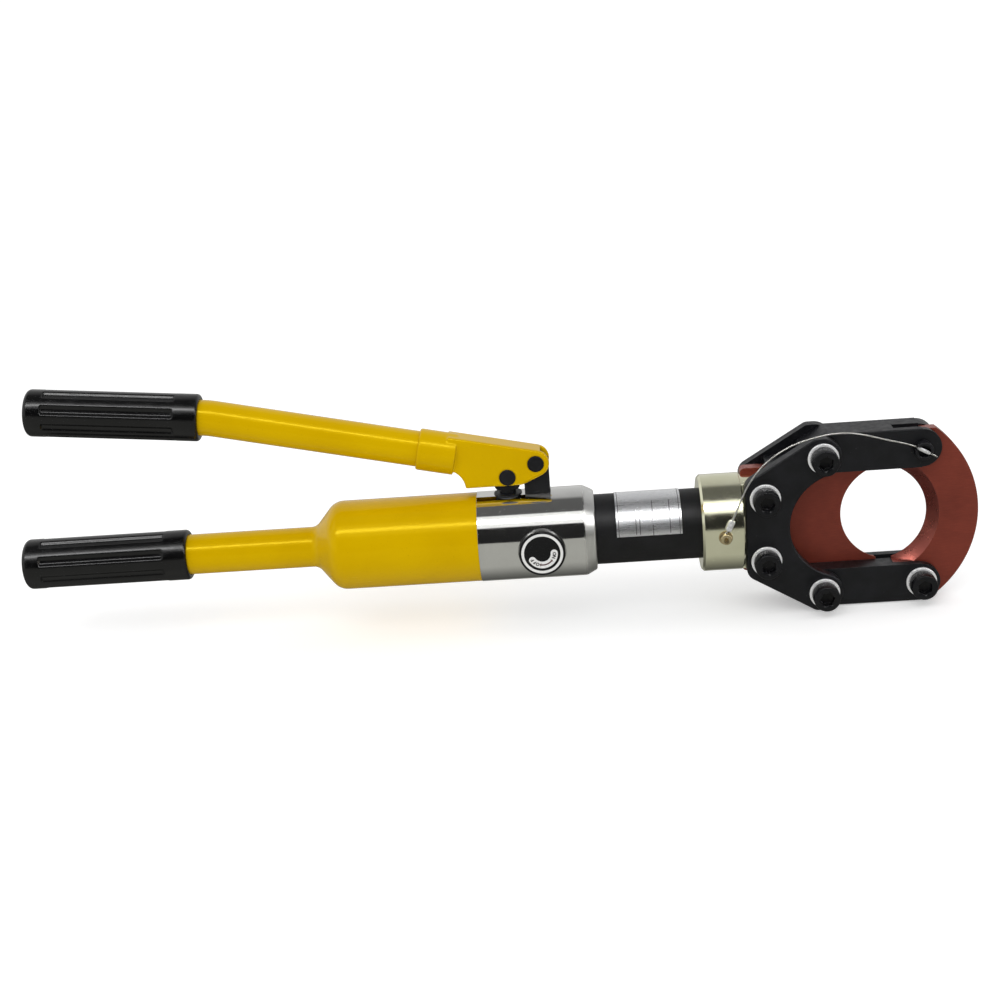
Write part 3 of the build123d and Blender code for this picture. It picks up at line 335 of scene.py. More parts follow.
LOOKS = {
    "black_oxide": oxide("black_oxide", (0.0055, 0.0057, 0.007), (0.16, 0.157, 0.155), 0.34, 0.7),
    "blade_red": lacquered_blade(
        "blade_red", (0.228, 0.043, 0.026), (0.33, 0.095, 0.075), (0.66, 0.3, 0.24), 0.34
    ),
    "bright_zinc": zinc_flake("bright_zinc", (0.97, 0.97, 0.97), (0.8, 0.8, 0.81), 0.24),
    "collar_nickel": turned_metal("collar_nickel", (0.86, 0.85, 0.64), (0.8, 0.79, 0.58), 0.11),
    "chrome_plate": turned_metal(
        "chrome_plate", (0.74, 0.74, 0.72), (0.68, 0.68, 0.66), 0.045, 0.04, satin_from=SATIN_FROM
    ),
    "tube_black": moulded("tube_black", (0.005, 0.005, 0.0055), 0.42, 1200.0, shine=0.26),
    "yellow_enamel": enamel("yellow_enamel", (0.64, 0.4, 0.0), (0.6, 0.365, 0.0), (0.75, 0.52, 0.03)),
    "grip_black": moulded("grip_black", (0.0022, 0.0022, 0.0024), 0.17, 500.0, 0.12, 0.42),
    "label_aluminium": nameplate_sheet(
        "label_aluminium", (0.86, 0.86, 0.87), (0.7, 0.71, 0.73), (0.05, 0.05, 0.05)
    ),
    "ground_steel": turned_metal("ground_steel", (0.62, 0.62, 0.64), (0.5, 0.5, 0.52), 0.22, 0.12),
    "valve_steel": plain_metal("valve_steel", (0.55, 0.55, 0.57), (0.38, 0.38, 0.4), 0.3),
    "ball_steel": plain_metal("ball_steel", (0.75, 0.75, 0.77), (0.68, 0.68, 0.7), 0.08),
    "spring_steel": plain_metal("spring_steel", (0.32, 0.32, 0.34), (0.2, 0.19, 0.18), 0.34),
    "seal_rubber": moulded("seal_rubber", (0.012, 0.012, 0.012), 0.5),
    "gland_brass": plain_metal("gland_brass", (0.72, 0.5, 0.2), (0.58, 0.38, 0.14), 0.28),
    "knob_black": moulded("knob_black", (0.003, 0.003, 0.0034), 0.26, 900.0, shine=0.24),
    "dial_black": moulded("dial_black", (0.0035, 0.0035, 0.004), 0.24, 1200.0, 0.12, 0.24),
    "wire_steel": plain_metal("wire_steel", (0.62, 0.61, 0.58), (0.4, 0.39, 0.37), 0.3),
    "crimp_aluminium": zinc_flake("crimp_aluminium", (0.95, 0.95, 0.95), (0.7, 0.7, 0.71), 0.32),
    "screw_brass": plain_metal("screw_brass", (0.6, 0.5, 0.3), (0.42, 0.33, 0.18), 0.16),
    "bladder_rubber": moulded("bladder_rubber", (0.016, 0.014, 0.014), 0.55),
}
SCREW_BLACK = oxide("screw_black", (0.0035, 0.0036, 0.0045), (0.14, 0.138, 0.135), 0.24, 0.5)
WASHER_WHITE = zinc_flake("washer_white", (1.0, 1.0, 1.0), (0.88, 0.88, 0.89), 0.25, 0.45)
DIAL_WHITE = printed_ink("dial_white", (0.82, 0.82, 0.8), 0.35)
DIAL_MARK = printed_ink("dial_mark", (0.004, 0.003, 0.003), 0.5)
DIAL_RED = printed_ink("dial_red", (0.07, 0.006, 0.008), 0.5)

# Material slot and body of each CAD node.
SLOT_OF = {entry["node"]: entry["material_slot"] for entry in frame["record"]["subparts"]}
BODIES = frame["record"]["behaviour"]["bodies"]
BODY_OF = {node: body for body, nodes in BODIES.items() for node in nodes}


def paint_frame():
    for node, obj in frame["nodes"].items():
        obj.data.materials.clear()
        obj.data.materials.append(LOOKS[SLOT_OF[node]])


# ---------------------------------------------------------------- mesh helpers


def stand_in(name, mesh, nodes, smooth_deg=35.0, look=None):
    """A nicer mesh for CAD nodes, on their body, with their material slot's look unless another look is
    given. The CAD nodes are hidden.
    """
    first = nodes[0]
    mesh.materials.append(look or LOOKS[SLOT_OF[first]])
    obj = link(name, mesh, smooth_deg)
    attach(obj, BODY_OF[first])
    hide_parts(*nodes)
    return obj


def link(name, mesh, smooth_deg=35.0):
    mesh.shade_smooth()
    mesh.set_sharp_from_angle(angle=math.radians(smooth_deg))
    obj = bpy.data.objects.new(name, mesh)
    scene.collection.objects.link(obj)
    return obj


def mesh_of(name, bm):
    bmesh.ops.recalc_face_normals(bm, faces=bm.faces)
    mesh = bpy.data.meshes.new(name)
    bm.to_mesh(mesh)
    bm.free()
    return mesh


def place_on(origin, axis, side):
    """Matrix that stands local Z along an axis and local X along a side direction."""
    z = Vector(axis).normalized()
    x = Vector(side).normalized()
    turn = Matrix((x, z.cross(x), z)).transposed()
    return Matrix.Translation(origin) @ turn.to_4x4()


def skin(bm, loops, closed_round=True):
    """Faces between neighbouring loops of vertices. A loop of one vertex is a pole."""
    for low, high in zip(loops, loops[1:]):
        count = max(len(low), len(high))
        for i in range(count if closed_round else count - 1):
            j = (i + 1) % count
            corners = [low[i % len(low)], low[j % len(low)], high[j % len(high)], high[i % len(high)]]
            bm.faces.new(list(dict.fromkeys(corners)))


def revolved(bm, rings, segments, place):
    """Closed solid from rings of (distance along Z, radius). A radius may depend on the angle."""
    loops = []
    for along, radius in rings:
        if radius == 0:
            loops.append([bm.verts.new(place @ Vector((0, 0, along)))])
            continue
        loop = []
        for i in range(segments):
            turn = 2 * math.pi * i / segments
            r = radius(turn) if callable(radius) else radius
            loop.append(bm.verts.new(place @ Vector((r * math.cos(turn), r * math.sin(turn), along))))
        loops.append(loop)
    skin(bm, loops)


def arc_rings(along, radius, corner, start_deg, end_deg, steps):
    """Rings round a quarter corner whose arc centre is at (along, radius)."""
    rings = []
    for i in range(steps + 1):
        turn = math.radians(start_deg + (end_deg - start_deg) * i / steps)
        rings.append((along + corner * math.cos(turn), radius + corner * math.sin(turn)))
    return rings


def step_up(value, low, high):
    """Smooth rise from 0 at low to 1 at high."""
    share = min(1.0, max(0.0, (value - low) / (high - low)))
    return share * share * (3 - 2 * share)


def reach(node, direction):
    """Lowest and highest reach of a node's mesh along a direction."""
    along = [v.co.dot(direction) for v in frame["nodes"][node].data.vertices]
    return min(along), max(along)


def solid_boxes(node):
    """Lowest and highest corner of each separate solid of a node."""
    bm = bmesh.new()
    bm.from_mesh(frame["nodes"][node].data)
    bmesh.ops.remove_doubles(bm, verts=bm.verts, dist=0.001 * MM)
    left = set(bm.verts)
    boxes = []
    while left:
        island = [left.pop()]
        for vert in island:
            for edge in vert.link_edges:
                other = edge.other_vert(vert)
                if other in left:
                    left.discard(other)
                    island.append(other)
        corners = [[pick(v.co[i] for v in island) for i in range(3)] for pick in (min, max)]
        boxes.append((Vector(corners[0]), Vector(corners[1])))
    bm.free()
    return sorted(boxes, key=lambda pair: (round(pair[0].x, 4), round(pair[0].z, 4)))


# ---------------------------------------------------------------- hand grips

FLUTES = 8
FLUTE_HALF = 2.2 * MM
FLUTE_DEPTH = 1.6 * MM
NEAR_BAND = 14.0 * MM  # plain band at the tube's end, then at the far end
FAR_BAND = 10.5 * MM
FLUTE_RISE = 1.6 * MM  # length over which a flute sinks in from a band
GRIP_END = 4.0 * MM  # thickness of the closed end
LEVER_SLOPE = math.radians(5.6)
LEVER_BORE_R = 10.9 * MM
HANDLE_BORE_R = 12.45 * MM


def grip(name, node, direction, bore):
    """Moulded grip: eight shallow flutes between two plain bands, rounded lips, blind bore."""
    direction = Vector(direction)
    square = Vector((direction.z, 0, -direction.x))
    start, end = reach(node, direction)
    low, high = reach(node, square)
    radius = reach(node, Vector((0, 1, 0)))[1]
    length = end - start
    origin = direction * start + square * (low + high) / 2

    def fluted(along):
        rise = step_up(along, NEAR_BAND, NEAR_BAND + FLUTE_RISE)
        fall = 1 - step_up(along, length - FAR_BAND - FLUTE_RISE, length - FAR_BAND)
        depth = FLUTE_DEPTH * rise * fall

        def at(turn):
            pitch = 2 * math.pi / FLUTES
            off = abs((turn / pitch) % 1.0 - 0.5) * pitch * radius
            return radius - depth * (1 - step_up(off, FLUTE_HALF - 1.4 * MM, FLUTE_HALF + 1.2 * MM))

        return at

    lip = 2.2 * MM
    cap = 3.2 * MM
    floor = length - GRIP_END
    rings = [(floor, 0), (floor, bore * 0.5), (floor, bore), (0.6 * MM, bore), (0, bore + 0.6 * MM)]
    rings += arc_rings(lip, radius - lip, lip, 180, 90, 6)
    steps = [NEAR_BAND + k * 0.2 * MM for k in range(9)]
    spread = length - NEAR_BAND - FAR_BAND - 3.6 * MM
    steps += [NEAR_BAND + 1.8 * MM + spread * k / 16 for k in range(1, 17)]
    steps += [length - FAR_BAND - FLUTE_RISE + k * 0.2 * MM for k in range(9)]
    rings += [(along, fluted(along)) for along in steps]
    rings += arc_rings(length - cap, radius - cap, cap, 90, 0, 8)
    rings += [(length, radius - 5 * MM)]
    rings += [(length - 0.5 * MM, radius - 5.6 * MM), (length - 0.5 * MM, 0)]
    bm = bmesh.new()
    revolved(bm, rings, 24 * FLUTES, place_on(origin, direction, (0, 1, 0)))
    stand_in(name, mesh_of(name, bm), [node])


def build_grips():
    raised = (-math.cos(LEVER_SLOPE), 0, math.sin(LEVER_SLOPE))
    grip("upper_hand_grip", "upper_grip", raised, LEVER_BORE_R)
    grip("lower_hand_grip", "lower_grip", (-1, 0, 0), HANDLE_BORE_R)


# ---------------------------------------------------------------- screws, washers and pins

HEAD_R = 8.0 * MM
HEAD_H = 10.0 * MM
SHANK_R = 5.0 * MM
KNURLS = 48
HEX_ACROSS = 8.0 * MM
WASHER_IN_R = 5.3 * MM
WASHER_OUT_R = 9.3 * MM
WASHER_THICK = 1.8 * MM
BUTTON_SHANK_R = 1.5 * MM
BUTTON_HEAD_R = 3.3 * MM
BUTTON_HEX_ACROSS = 2.5 * MM
# Under the button screw's front face: its seat, then the washer's front and back.
BUTTON_SEAT = -2.2 * MM
BUTTON_WASHER = (-3.8 * MM, -4.4 * MM)


def knurled(turn):
    """Straight knurl round the screw head."""
    tooth = abs((turn * KNURLS / (2 * math.pi)) % 1.0 - 0.5) * 2
    return HEAD_R - 0.28 * MM * tooth


def hexagon(turn, across=HEX_ACROSS):
    sector = math.pi / 3
    return across / 2 / math.cos((turn + sector / 2) % sector - sector / 2)


def screw_rings(seat_to_tip):
    """Socket head screw from its tip (negative) to its head's front face."""
    tip = -seat_to_tip
    rings = [(tip, 0), (tip, SHANK_R - 0.8 * MM), (tip + 0.8 * MM, SHANK_R), (0, SHANK_R)]
    rings += [(0, HEAD_R - 0.5 * MM), (0.3 * MM, HEAD_R - 0.25 * MM)]
    rings += [(0.9 * MM, knurled), (HEAD_H - 1.9 * MM, knurled)]
    rings += [(HEAD_H - 1.4 * MM, HEAD_R - 0.15 * MM)]
    rings += arc_rings(HEAD_H - 0.9 * MM, HEAD_R - 1.05 * MM, 0.9 * MM, 90, 0, 5)
    rings += [(HEAD_H, 5.1 * MM), (HEAD_H - 0.45 * MM, hexagon), (HEAD_H - 5.2 * MM, hexagon)]
    rings += [(HEAD_H - 6.6 * MM, 0)]
    return rings


def socket_screws(name, node):
    bm = bmesh.new()
    for index, (low, high) in enumerate(solid_boxes(node)):
        centre = Vector(((low.x + high.x) / 2, low.y + HEAD_H, (low.z + high.z) / 2))
        turn = math.radians(4 + 17 * index)
        side = (math.cos(turn), 0, math.sin(turn))
        revolved(bm, screw_rings(high.y - centre.y), 4 * KNURLS, place_on(centre, FRONT, side))
    stand_in(name, mesh_of(name, bm), [node], 28.0, SCREW_BLACK)


def split_washers():
    """Helical spring washers: a rounded square section, cut and sprung apart at the split."""
    bm = bmesh.new()
    inner = WASHER_IN_R
    outer = WASHER_OUT_R
    thick = WASHER_THICK
    half = (outer - inner) / 2
    steps = 120
    for index, (low, high) in enumerate(solid_boxes("spring_washers")):
        centre = Vector(((low.x + high.x) / 2, high.y, (low.z + high.z) / 2))
        place = place_on(centre, FRONT, (0, 0, -1))
        loops = []
        for i in range(steps + 1):
            turn = math.radians(5 + 350 * i / steps + 11 * index)
            lift = thick / 2 + 0.02 * MM + (high.y - low.y - thick - 0.04 * MM) * i / steps
            loop = []
            for k in range(16):
                corner = 2 * math.pi * k / 16
                across = math.copysign(abs(math.cos(corner)) ** 0.45, math.cos(corner)) * half
                along = math.copysign(abs(math.sin(corner)) ** 0.45, math.sin(corner)) * thick / 2
                r = (outer + inner) / 2 + across
                point = Vector((r * math.cos(turn), r * math.sin(turn), lift + along))
                loop.append(bm.verts.new(place @ point))
            loops.append(loop)
        skin(bm, loops)
        bm.faces.new(loops[0])
        bm.faces.new(loops[-1])
    mesh = mesh_of("split_washers", bm)
    stand_in("split_spring_washers", mesh, ["spring_washers"], 50.0, WASHER_WHITE)


def button_screw():
    """Small brass screw of the lanyard with its washer: rolled rim and a hex socket."""
    low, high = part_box("lanyard_screw")
    washer = (high.x - low.x) / 2
    centre = Vector(((low.x + high.x) / 2, low.y, (low.z + high.z) / 2))
    shank = BUTTON_SHANK_R
    head = BUTTON_HEAD_R
    tip = low.y - high.y
    front, back = BUTTON_WASHER

    def socket(turn):
        return hexagon(turn, BUTTON_HEX_ACROSS)

    rings = [(tip, 0), (tip, shank), (back, shank), (back, washer - 0.1 * MM)]
    rings += [(back + 0.1 * MM, washer), (front - 0.15 * MM, washer)]
    rings += [(front, washer - 0.15 * MM), (front, shank)]
    rings += [(BUTTON_SEAT, shank), (BUTTON_SEAT, head - 0.2 * MM), (BUTTON_SEAT + 0.2 * MM, head)]
    rings += arc_rings(-0.7 * MM, head - 0.7 * MM, 0.7 * MM, 90, 0, 6)
    rings += [(0, 2.0 * MM), (-0.3 * MM, socket), (-2.1 * MM, socket), (-3.1 * MM, 0)]
    bm = bmesh.new()
    revolved(bm, rings, 72, place_on(centre, FRONT, (1, 0, 0)))
    stand_in("lanyard_button_screw", mesh_of("lanyard_button_screw", bm), ["lanyard_screw"], 30.0)


def headed_pin(name, node):
    """Press-fit pin with a shallow domed head on each side."""
    low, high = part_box(node)
    centre = (low + high) / 2
    half = (high.y - low.y) / 2
    shank = 3.5 * MM
    head = (high.x - low.x) / 2
    dome = 0.35 * MM
    side = [(0, shank), (half - 1.5 * MM, shank)]
    side += [(half - 1.5 * MM, head - 0.05 * MM), (half - 0.8 * MM, head)]
    side += arc_rings(half - 0.5 * MM - dome, head - 0.5 * MM, 0.5 * MM, 90, 25, 4)
    for share in (0.8, 0.6, 0.4, 0.2):
        side.append((half - dome * share**2, head * share * 0.92))
    side.append((half, 0))
    rings = [(-along, radius) for along, radius in reversed(side)] + side[1:]
    bm = bmesh.new()
    revolved(bm, rings, 64, place_on(centre, FRONT, (1, 0, 0)))
    stand_in(name, mesh_of(name, bm), [node], 50.0)


# ---------------------------------------------------------------- return spring

SPRING_WIRE_R = 1.3 * MM
SPRING_TURNS = 9


def coil_spring():
    """Return spring between the piston and the gland, built as one fixed coil; the real one closes up as
    the ram comes out.
    """
    low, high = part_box("return_spring")
    length = high.x - low.x
    coil_r = (high.z - low.z) / 2 - SPRING_WIRE_R
    steps = 48 * SPRING_TURNS
    bm = bmesh.new()
    loops = []
    for i in range(steps + 1):
        turn = 2 * math.pi * SPRING_TURNS * i / steps
        outward = Vector((0, math.cos(turn), math.sin(turn)))
        centre = coil_r * outward
        centre.x = low.x + SPRING_WIRE_R + (length - 2 * SPRING_WIRE_R) * i / steps
        loop = []
        for k in range(12):
            corner = 2 * math.pi * k / 12
            off = math.cos(corner) * outward + math.sin(corner) * Vector((1, 0, 0))
            loop.append(bm.verts.new(centre + SPRING_WIRE_R * off))
        loops.append(loop)
    skin(bm, loops)
    bm.faces.new(loops[0])
    bm.faces.new(loops[-1])
    mesh = mesh_of("coiled_return_spring", bm)
    spring = stand_in("coiled_return_spring", mesh, ["return_spring"], 50.0)
    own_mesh(spring)


# ---------------------------------------------------------------- cast fork


def cast_fork():
    """The lever fork as a casting: the CAD form remeshed and smoothed, so that its arrises are soft."""
    source = frame["nodes"]["lever_fork"]
    mesh = source.data.copy()
    mesh.materials.clear()
    obj = stand_in("cast_lever_fork", mesh, ["lever_fork"])
    remesh = obj.modifiers.new("remesh", "REMESH")
    remesh.mode = "VOXEL"
    remesh.voxel_size = 0.36 * MM
    smooth = obj.modifiers.new("smooth", "SMOOTH")
    smooth.factor = 0.5
    smooth.iterations = 36
    bake(obj)
    obj.data.shade_smooth()


def bake(obj):
    """Applies the object's modifiers to its mesh."""
    bpy.context.view_layer.update()
    graph = bpy.context.evaluated_depsgraph_get()
    shaped = bpy.data.meshes.new_from_object(obj.evaluated_get(graph))
    obj.modifiers.clear()
    obj.data = shaped


# ---------------------------------------------------------------- release dial

RING_IN = 10.9 * MM
RING_OUT = 12.6 * MM
LABEL_R = 7.2 * MM
LABEL_HALF = 2.15 * MM
LABEL_FROM = math.radians(1)
LABEL_TO = math.radians(-148)
INK = 0.05 * MM  # thickness of the printing
LETTER_SIZE = 2.7 * MM
LETTER_WEIGHT = 0.12 * MM
LETTER_STEP_DEG = 16
WORDS_FROM_DEG = (("ON", -4), ("OFF", -116))
ARROW_FROM = math.radians(-42)
ARROW_TO = math.radians(-99)
ARROW_HEAD = math.radians(7)
ARROW_HALF = 0.4 * MM
ARROW_BARB = 1.2 * MM


def on_dial(radius, turn, lift):
    """Point on the dial face at an angle from +X towards +Z, raised towards the front."""
    low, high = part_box("knob_dial")
    x = (low.x + high.x) / 2 + radius * math.cos(turn)
    z = (low.z + high.z) / 2 + radius * math.sin(turn)
    return Vector((x, low.y - lift, z))


def dial_piece(name, bm, look):
    mesh = mesh_of(name, bm)
    mesh.materials.append(look)
    obj = link(name, mesh)
    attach(obj, BODY_OF["knob_dial"])
    return obj


def dial_ring():
    bm = bmesh.new()
    low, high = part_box("knob_dial")
    centre = Vector(((low.x + high.x) / 2, low.y, (low.z + high.z) / 2))
    half = 0.04 * MM
    rings = [(-half, RING_IN), (INK, RING_IN + 0.05 * MM)]
    rings += [(INK, RING_OUT - 0.05 * MM), (-half, RING_OUT)]
    revolved(bm, rings + [rings[0]], 128, place_on(centre, FRONT, (1, 0, 0)))
    bmesh.ops.remove_doubles(bm, verts=bm.verts, dist=0.001 * MM)
    dial_piece("dial_ring", bm, DIAL_WHITE)


def ribbon(bm, outline, lift_low, lift_high):
    """Flat closed shape on the dial from (radius, angle) points, with a thickness."""
    back = [bm.verts.new(on_dial(radius, turn, lift_low)) for radius, turn in outline]
    face = [bm.verts.new(on_dial(radius, turn, lift_high)) for radius, turn in outline]
    skin(bm, [back, face])
    bm.faces.new(back)
    bm.faces.new(face)


def dial_label():
    """White banana-shaped field with round ends, as (radius, angle) points."""
    span = LABEL_TO - LABEL_FROM
    steps = 24
    outline = [(LABEL_R + LABEL_HALF, LABEL_FROM + span * k / steps) for k in range(steps + 1)]
    outline += round_end(LABEL_TO, LABEL_TO)
    outline += [(LABEL_R - LABEL_HALF, LABEL_TO - span * k / steps) for k in range(steps + 1)]
    return outline + round_end(LABEL_FROM, LABEL_FROM + math.pi)


def round_end(turn, start):
    """Half circle round the label's end at one angle, swinging clockwise from a start direction."""
    points = []
    for k in range(1, 12):
        swing = start - math.pi * k / 12
        x = LABEL_R * math.cos(turn) + LABEL_HALF * math.cos(swing)
        z = LABEL_R * math.sin(turn) + LABEL_HALF * math.sin(swing)
        points.append((math.hypot(x, z), math.atan2(z, x)))
    return points


def glyph_mesh(letter):
    """One letter, centred, as a mesh of its own."""
    data = bpy.data.curves.new("letter", "FONT")
    data.body = letter
    data.size = LETTER_SIZE
    data.offset = LETTER_WEIGHT
    data.extrude = 0.02 * MM
    data.align_x = "CENTER"
    data.align_y = "CENTER"
    glyph = bpy.data.objects.new("letter", data)
    scene.collection.objects.link(glyph)
    bpy.context.view_layer.update()
    graph = bpy.context.evaluated_depsgraph_get()
    shape = bpy.data.meshes.new_from_object(glyph.evaluated_get(graph))
    bpy.data.objects.remove(glyph)
    return shape


def dial_letters():
    """Small ON and OFF along the label, tops outwards."""
    bm = bmesh.new()
    for word, first in WORDS_FROM_DEG:
        for index, letter in enumerate(word):
            turn = math.radians(first - LETTER_STEP_DEG * index)
            outward = Vector((math.cos(turn), 0, math.sin(turn)))
            spot = on_dial(LABEL_R, turn, INK + 0.02 * MM)
            shape = glyph_mesh(letter)
            shape.transform(place_on(spot, FRONT, FRONT.cross(outward) * -1))
            bm.from_mesh(shape)
    bmesh.ops.remove_doubles(bm, verts=bm.verts, dist=0.002 * MM)
    dial_piece("dial_letters", bm, DIAL_MARK)


def dial_arrow():
    """Arrow with a head at each end, between the words."""
    bm = bmesh.new()
    low, high = ARROW_FROM, ARROW_TO
    half = ARROW_HALF
    barb = ARROW_BARB
    outline = [(LABEL_R, low + ARROW_HEAD), (LABEL_R + barb, low), (LABEL_R + half, low)]
    steps = 16
    outline += [(LABEL_R + half, low + (high - low) * k / steps) for k in range(1, steps)]
    outline += [(LABEL_R + half, high), (LABEL_R + barb, high), (LABEL_R, high - ARROW_HEAD)]
    outline += [(LABEL_R - barb, high), (LABEL_R - half, high)]
    outline += [(LABEL_R - half, high + (low - high) * k / steps) for k in range(1, steps)]
    outline += [(LABEL_R - half, low), (LABEL_R - barb, low)]
    ribbon(bm, outline, INK + 0.002 * MM, INK + 0.03 * MM)
    dial_piece("dial_arrow", bm, DIAL_RED)


def build_dial():
    dial_ring()
    bm = bmesh.new()
    ribbon(bm, dial_label(), -0.04 * MM, INK)
    dial_piece("dial_label", bm, DIAL_WHITE)
    dial_letters()
    dial_arrow()


# ---------------------------------------------------------------- lanyard

WIRE_R = 0.5 * MM
STRANDS = 6
LAY = 4.2 * MM  # length of one twist of the strands
LOOP_R = 2.6 * MM
LOOP_Y = -31.15 * MM
LATCH_DROOP = math.radians(29)  # how far the wire's end in the latch pin points down
INTO_LATCH = Vector((math.cos(LATCH_DROOP), 0, -math.sin(LATCH_DROOP)))
LATCH_WIRE_DEPTH = 2 * MM
# Where the wire runs, in mm: out of the loop round the screw, through the crimp, over the far bolt.
CRIMP_START = (-98.2, -31.15, 3.9)
CRIMP_END = (-94.3, -31.0, 12.0)
WIRE_RUN = (
    CRIMP_START,
    CRIMP_END,
    (-88.7, -29.2, 23.8),
    (-83.4, -27.5, 33.0),
    (-74.3, -26.0, 43.3),
    (-59.3, -24.5, 52.4),
    (-39.7, -23.0, 57.4),
    (-23.6, -21.2, 57.4),
    (0.4, -18.0, 50.4),
)


def wire_knots():
    """Points the wire runs through: round the screw, out of the crimp, over to the latch pin."""
    low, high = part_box("lanyard_screw")
    screw = Vector(((low.x + high.x) / 2, LOOP_Y, (low.z + high.z) / 2))
    lean = math.radians(77)
    knots = []
    for k in range(9):
        turn = lean - math.radians(24 + 39 * k)
        knots.append(screw + LOOP_R * Vector((math.cos(turn), 0, math.sin(turn))))
    pin_low, pin_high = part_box("latch_pin")
    pin = (pin_low + pin_high) / 2
    pin.y = pin_low.y + LATCH_WIRE_DEPTH
    knots += [Vector(point) * MM for point in WIRE_RUN]
    knots += [pin - 7 * MM * INTO_LATCH, pin, pin + 4.5 * MM * INTO_LATCH, pin + 9 * MM * INTO_LATCH]
    return knots


def spline(knots, step):
    """Centripetal curve through the knots, sampled at about an even step."""
    points = [knots[0]]
    ends = [2 * knots[0] - knots[1]] + knots + [2 * knots[-1] - knots[-2]]
    for i in range(1, len(ends) - 2):
        p0, p1, p2, p3 = ends[i - 1 : i + 3]
        t1 = (p1 - p0).length ** 0.5
        t2 = t1 + (p2 - p1).length ** 0.5
        t3 = t2 + (p3 - p2).length ** 0.5
        count = max(2, round((p2 - p1).length / step))
        for k in range(1, count + 1):
            t = t1 + (t2 - t1) * k / count
            a1 = p0 * ((t1 - t) / t1) + p1 * (t / t1)
            a2 = p1 * ((t2 - t) / (t2 - t1)) + p2 * ((t - t1) / (t2 - t1))
            a3 = p2 * ((t3 - t) / (t3 - t2)) + p3 * ((t - t2) / (t3 - t2))
            b1 = a1 * ((t2 - t) / t2) + a2 * (t / t2)
            b2 = a2 * ((t3 - t) / (t3 - t1)) + a3 * ((t - t1) / (t3 - t1))
            points.append(b1 * ((t2 - t) / (t2 - t1)) + b2 * ((t - t1) / (t2 - t1)))
    return points


def stranded_wire():
    """Six strands laid round each other, as one skin whose outline twists along the wire."""
    path = spline(wire_knots(), 0.28 * MM)
    around = 5 * STRANDS
    bm = bmesh.new()
    loops = []
    travelled = 0.0
    for i, point in enumerate(path):
        ahead = path[min(i + 1, len(path) - 1)]
        behind = path[max(i - 1, 0)]
        tangent = (ahead - behind).normalized()
        travelled += (point - path[i - 1]).length if i else 0.0
        side = tangent.cross(Vector((0, 1, 0))).normalized()
        up = side.cross(tangent)
        loop = []
        for k in range(around):
            turn = 2 * math.pi * k / around
            twist = STRANDS * (turn / 2 - math.pi * travelled / LAY)
            r = WIRE_R * (0.8 + 0.24 * abs(math.cos(twist)))
            loop.append(bm.verts.new(point + r * (math.cos(turn) * side + math.sin(turn) * up)))
        loops.append(loop)
    skin(bm, loops)
    bm.faces.new(loops[0])
    bm.faces.new(loops[-1])
    mesh = mesh_of("stranded_wire", bm)
    mesh.materials.append(LOOKS["wire_steel"])
    wire = link("stranded_lanyard_wire", mesh, 60.0)
    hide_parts("lanyard_wire")
    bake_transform(wire)


def squeezed(wide, flat):
    """Rounded rectangle as a radius over the angle: wide across local Y, flat across local X."""
    power = 3.0

    def at(turn):
        return (abs(math.cos(turn) / flat) ** power + abs(math.sin(turn) / wide) ** power) ** (-1 / power)

    return at


def pressed_sleeve(name, node, along, length, wide, flat, lip):
    """Aluminium sleeve squeezed over the wire, with two pressed dents and a tapered lip at each end."""
    low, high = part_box(node)
    start = (low + high) / 2 - along * length / 2
    end_section = squeezed(wide * lip, flat * lip)
    core = 0.7 * MM
    rings = [(0.4 * MM, 0), (0, core), (0, end_section)]
    for k in range(1, 26):
        share = k / 26
        dent = sum(math.exp(-(((share - middle) / 0.07) ** 2)) for middle in (0.32, 0.7))
        taper = lip + (1 - lip) * step_up(min(share, 1 - share), 0, 0.12)
        rings.append((length * share, squeezed(wide * taper, flat * taper * (1 - 0.22 * dent))))
    rings += [(length, end_section), (length, core), (length - 0.4 * MM, 0)]
    bm = bmesh.new()
    revolved(bm, rings, 48, place_on(start, along, (0, 1, 0)))
    stand_in(name, mesh_of(name, bm), [node], 40.0)


def crimp_sleeves():
    """The sleeve beside the collar's screw, and the one lying in the latch pin's slot."""
    out_of_loop = (Vector(CRIMP_END) - Vector(CRIMP_START)).normalized()
    sleeve = (6.5 * MM, 1.8 * MM, 1.3 * MM, 0.88)
    pressed_sleeve("crimped_sleeve", "lanyard_crimp", out_of_loop, *sleeve)
    ferrule = (8.4 * MM, 1.15 * MM, 1.1 * MM, 0.74)
    pressed_sleeve("crimped_ferrule", "lanyard_ferrule", INTO_LATCH, *ferrule)


# ---------------------------------------------------------------- camera, light and floor

CAMERA_AZ = 2.81
CAMERA_EL = 18.97
CAMERA_ROLL = -4.5
CAMERA_DISTANCE = 1.01206
CAMERA_TARGET = Vector((-0.23463, 0, 0.00949))
SENSOR = 36
CAMERA_FOCAL = 1.64241 * SENSOR
CAMERA_SHIFT = (0.0006, 0.0206)

# What glossy surfaces see, by the angle in degrees from the front horizon up over the top:
# a dark gap over the floor, the front softbox with its bright tube, the dim ceiling, then the pale rear.
SURROUND = (
    (0, 0.02),
    (37.5, 0.025),
    (39, 1.2),
    (49, 1.25),
    (51, 11.0),
    (57, 11.0),
    (59, 1.25),
    (68.5, 1.2),
    (70, 0.12),
    (108, 0.13),
    (118, 0.5),
    (140, 0.6),
    (180, 0.72),
)
# The floor's painted reflection, as glossy surfaces see it, by the same angle going down: pale in front,
# painted shade underneath.
PAINTED_FLOOR_REFLECTION = (
    (-180, 0.42),
    (-152, 0.4),
    (-130, 0.09),
    (-102, 0.2),
    (-85, 0.32),
    (-68, 0.45),
    (0, 0.47),
)
PEAK = 11.0
DOME_LIGHT = 0.86
SIDE_BOARD = 0.8
BACKDROP = 1.0
FLOOR_GLOW = 0.34
FLOOR_TINT = (1.0, 1.0, 0.93)
FLOOR_HALF = 400
FLOOR_GAP = 0.6 * MM


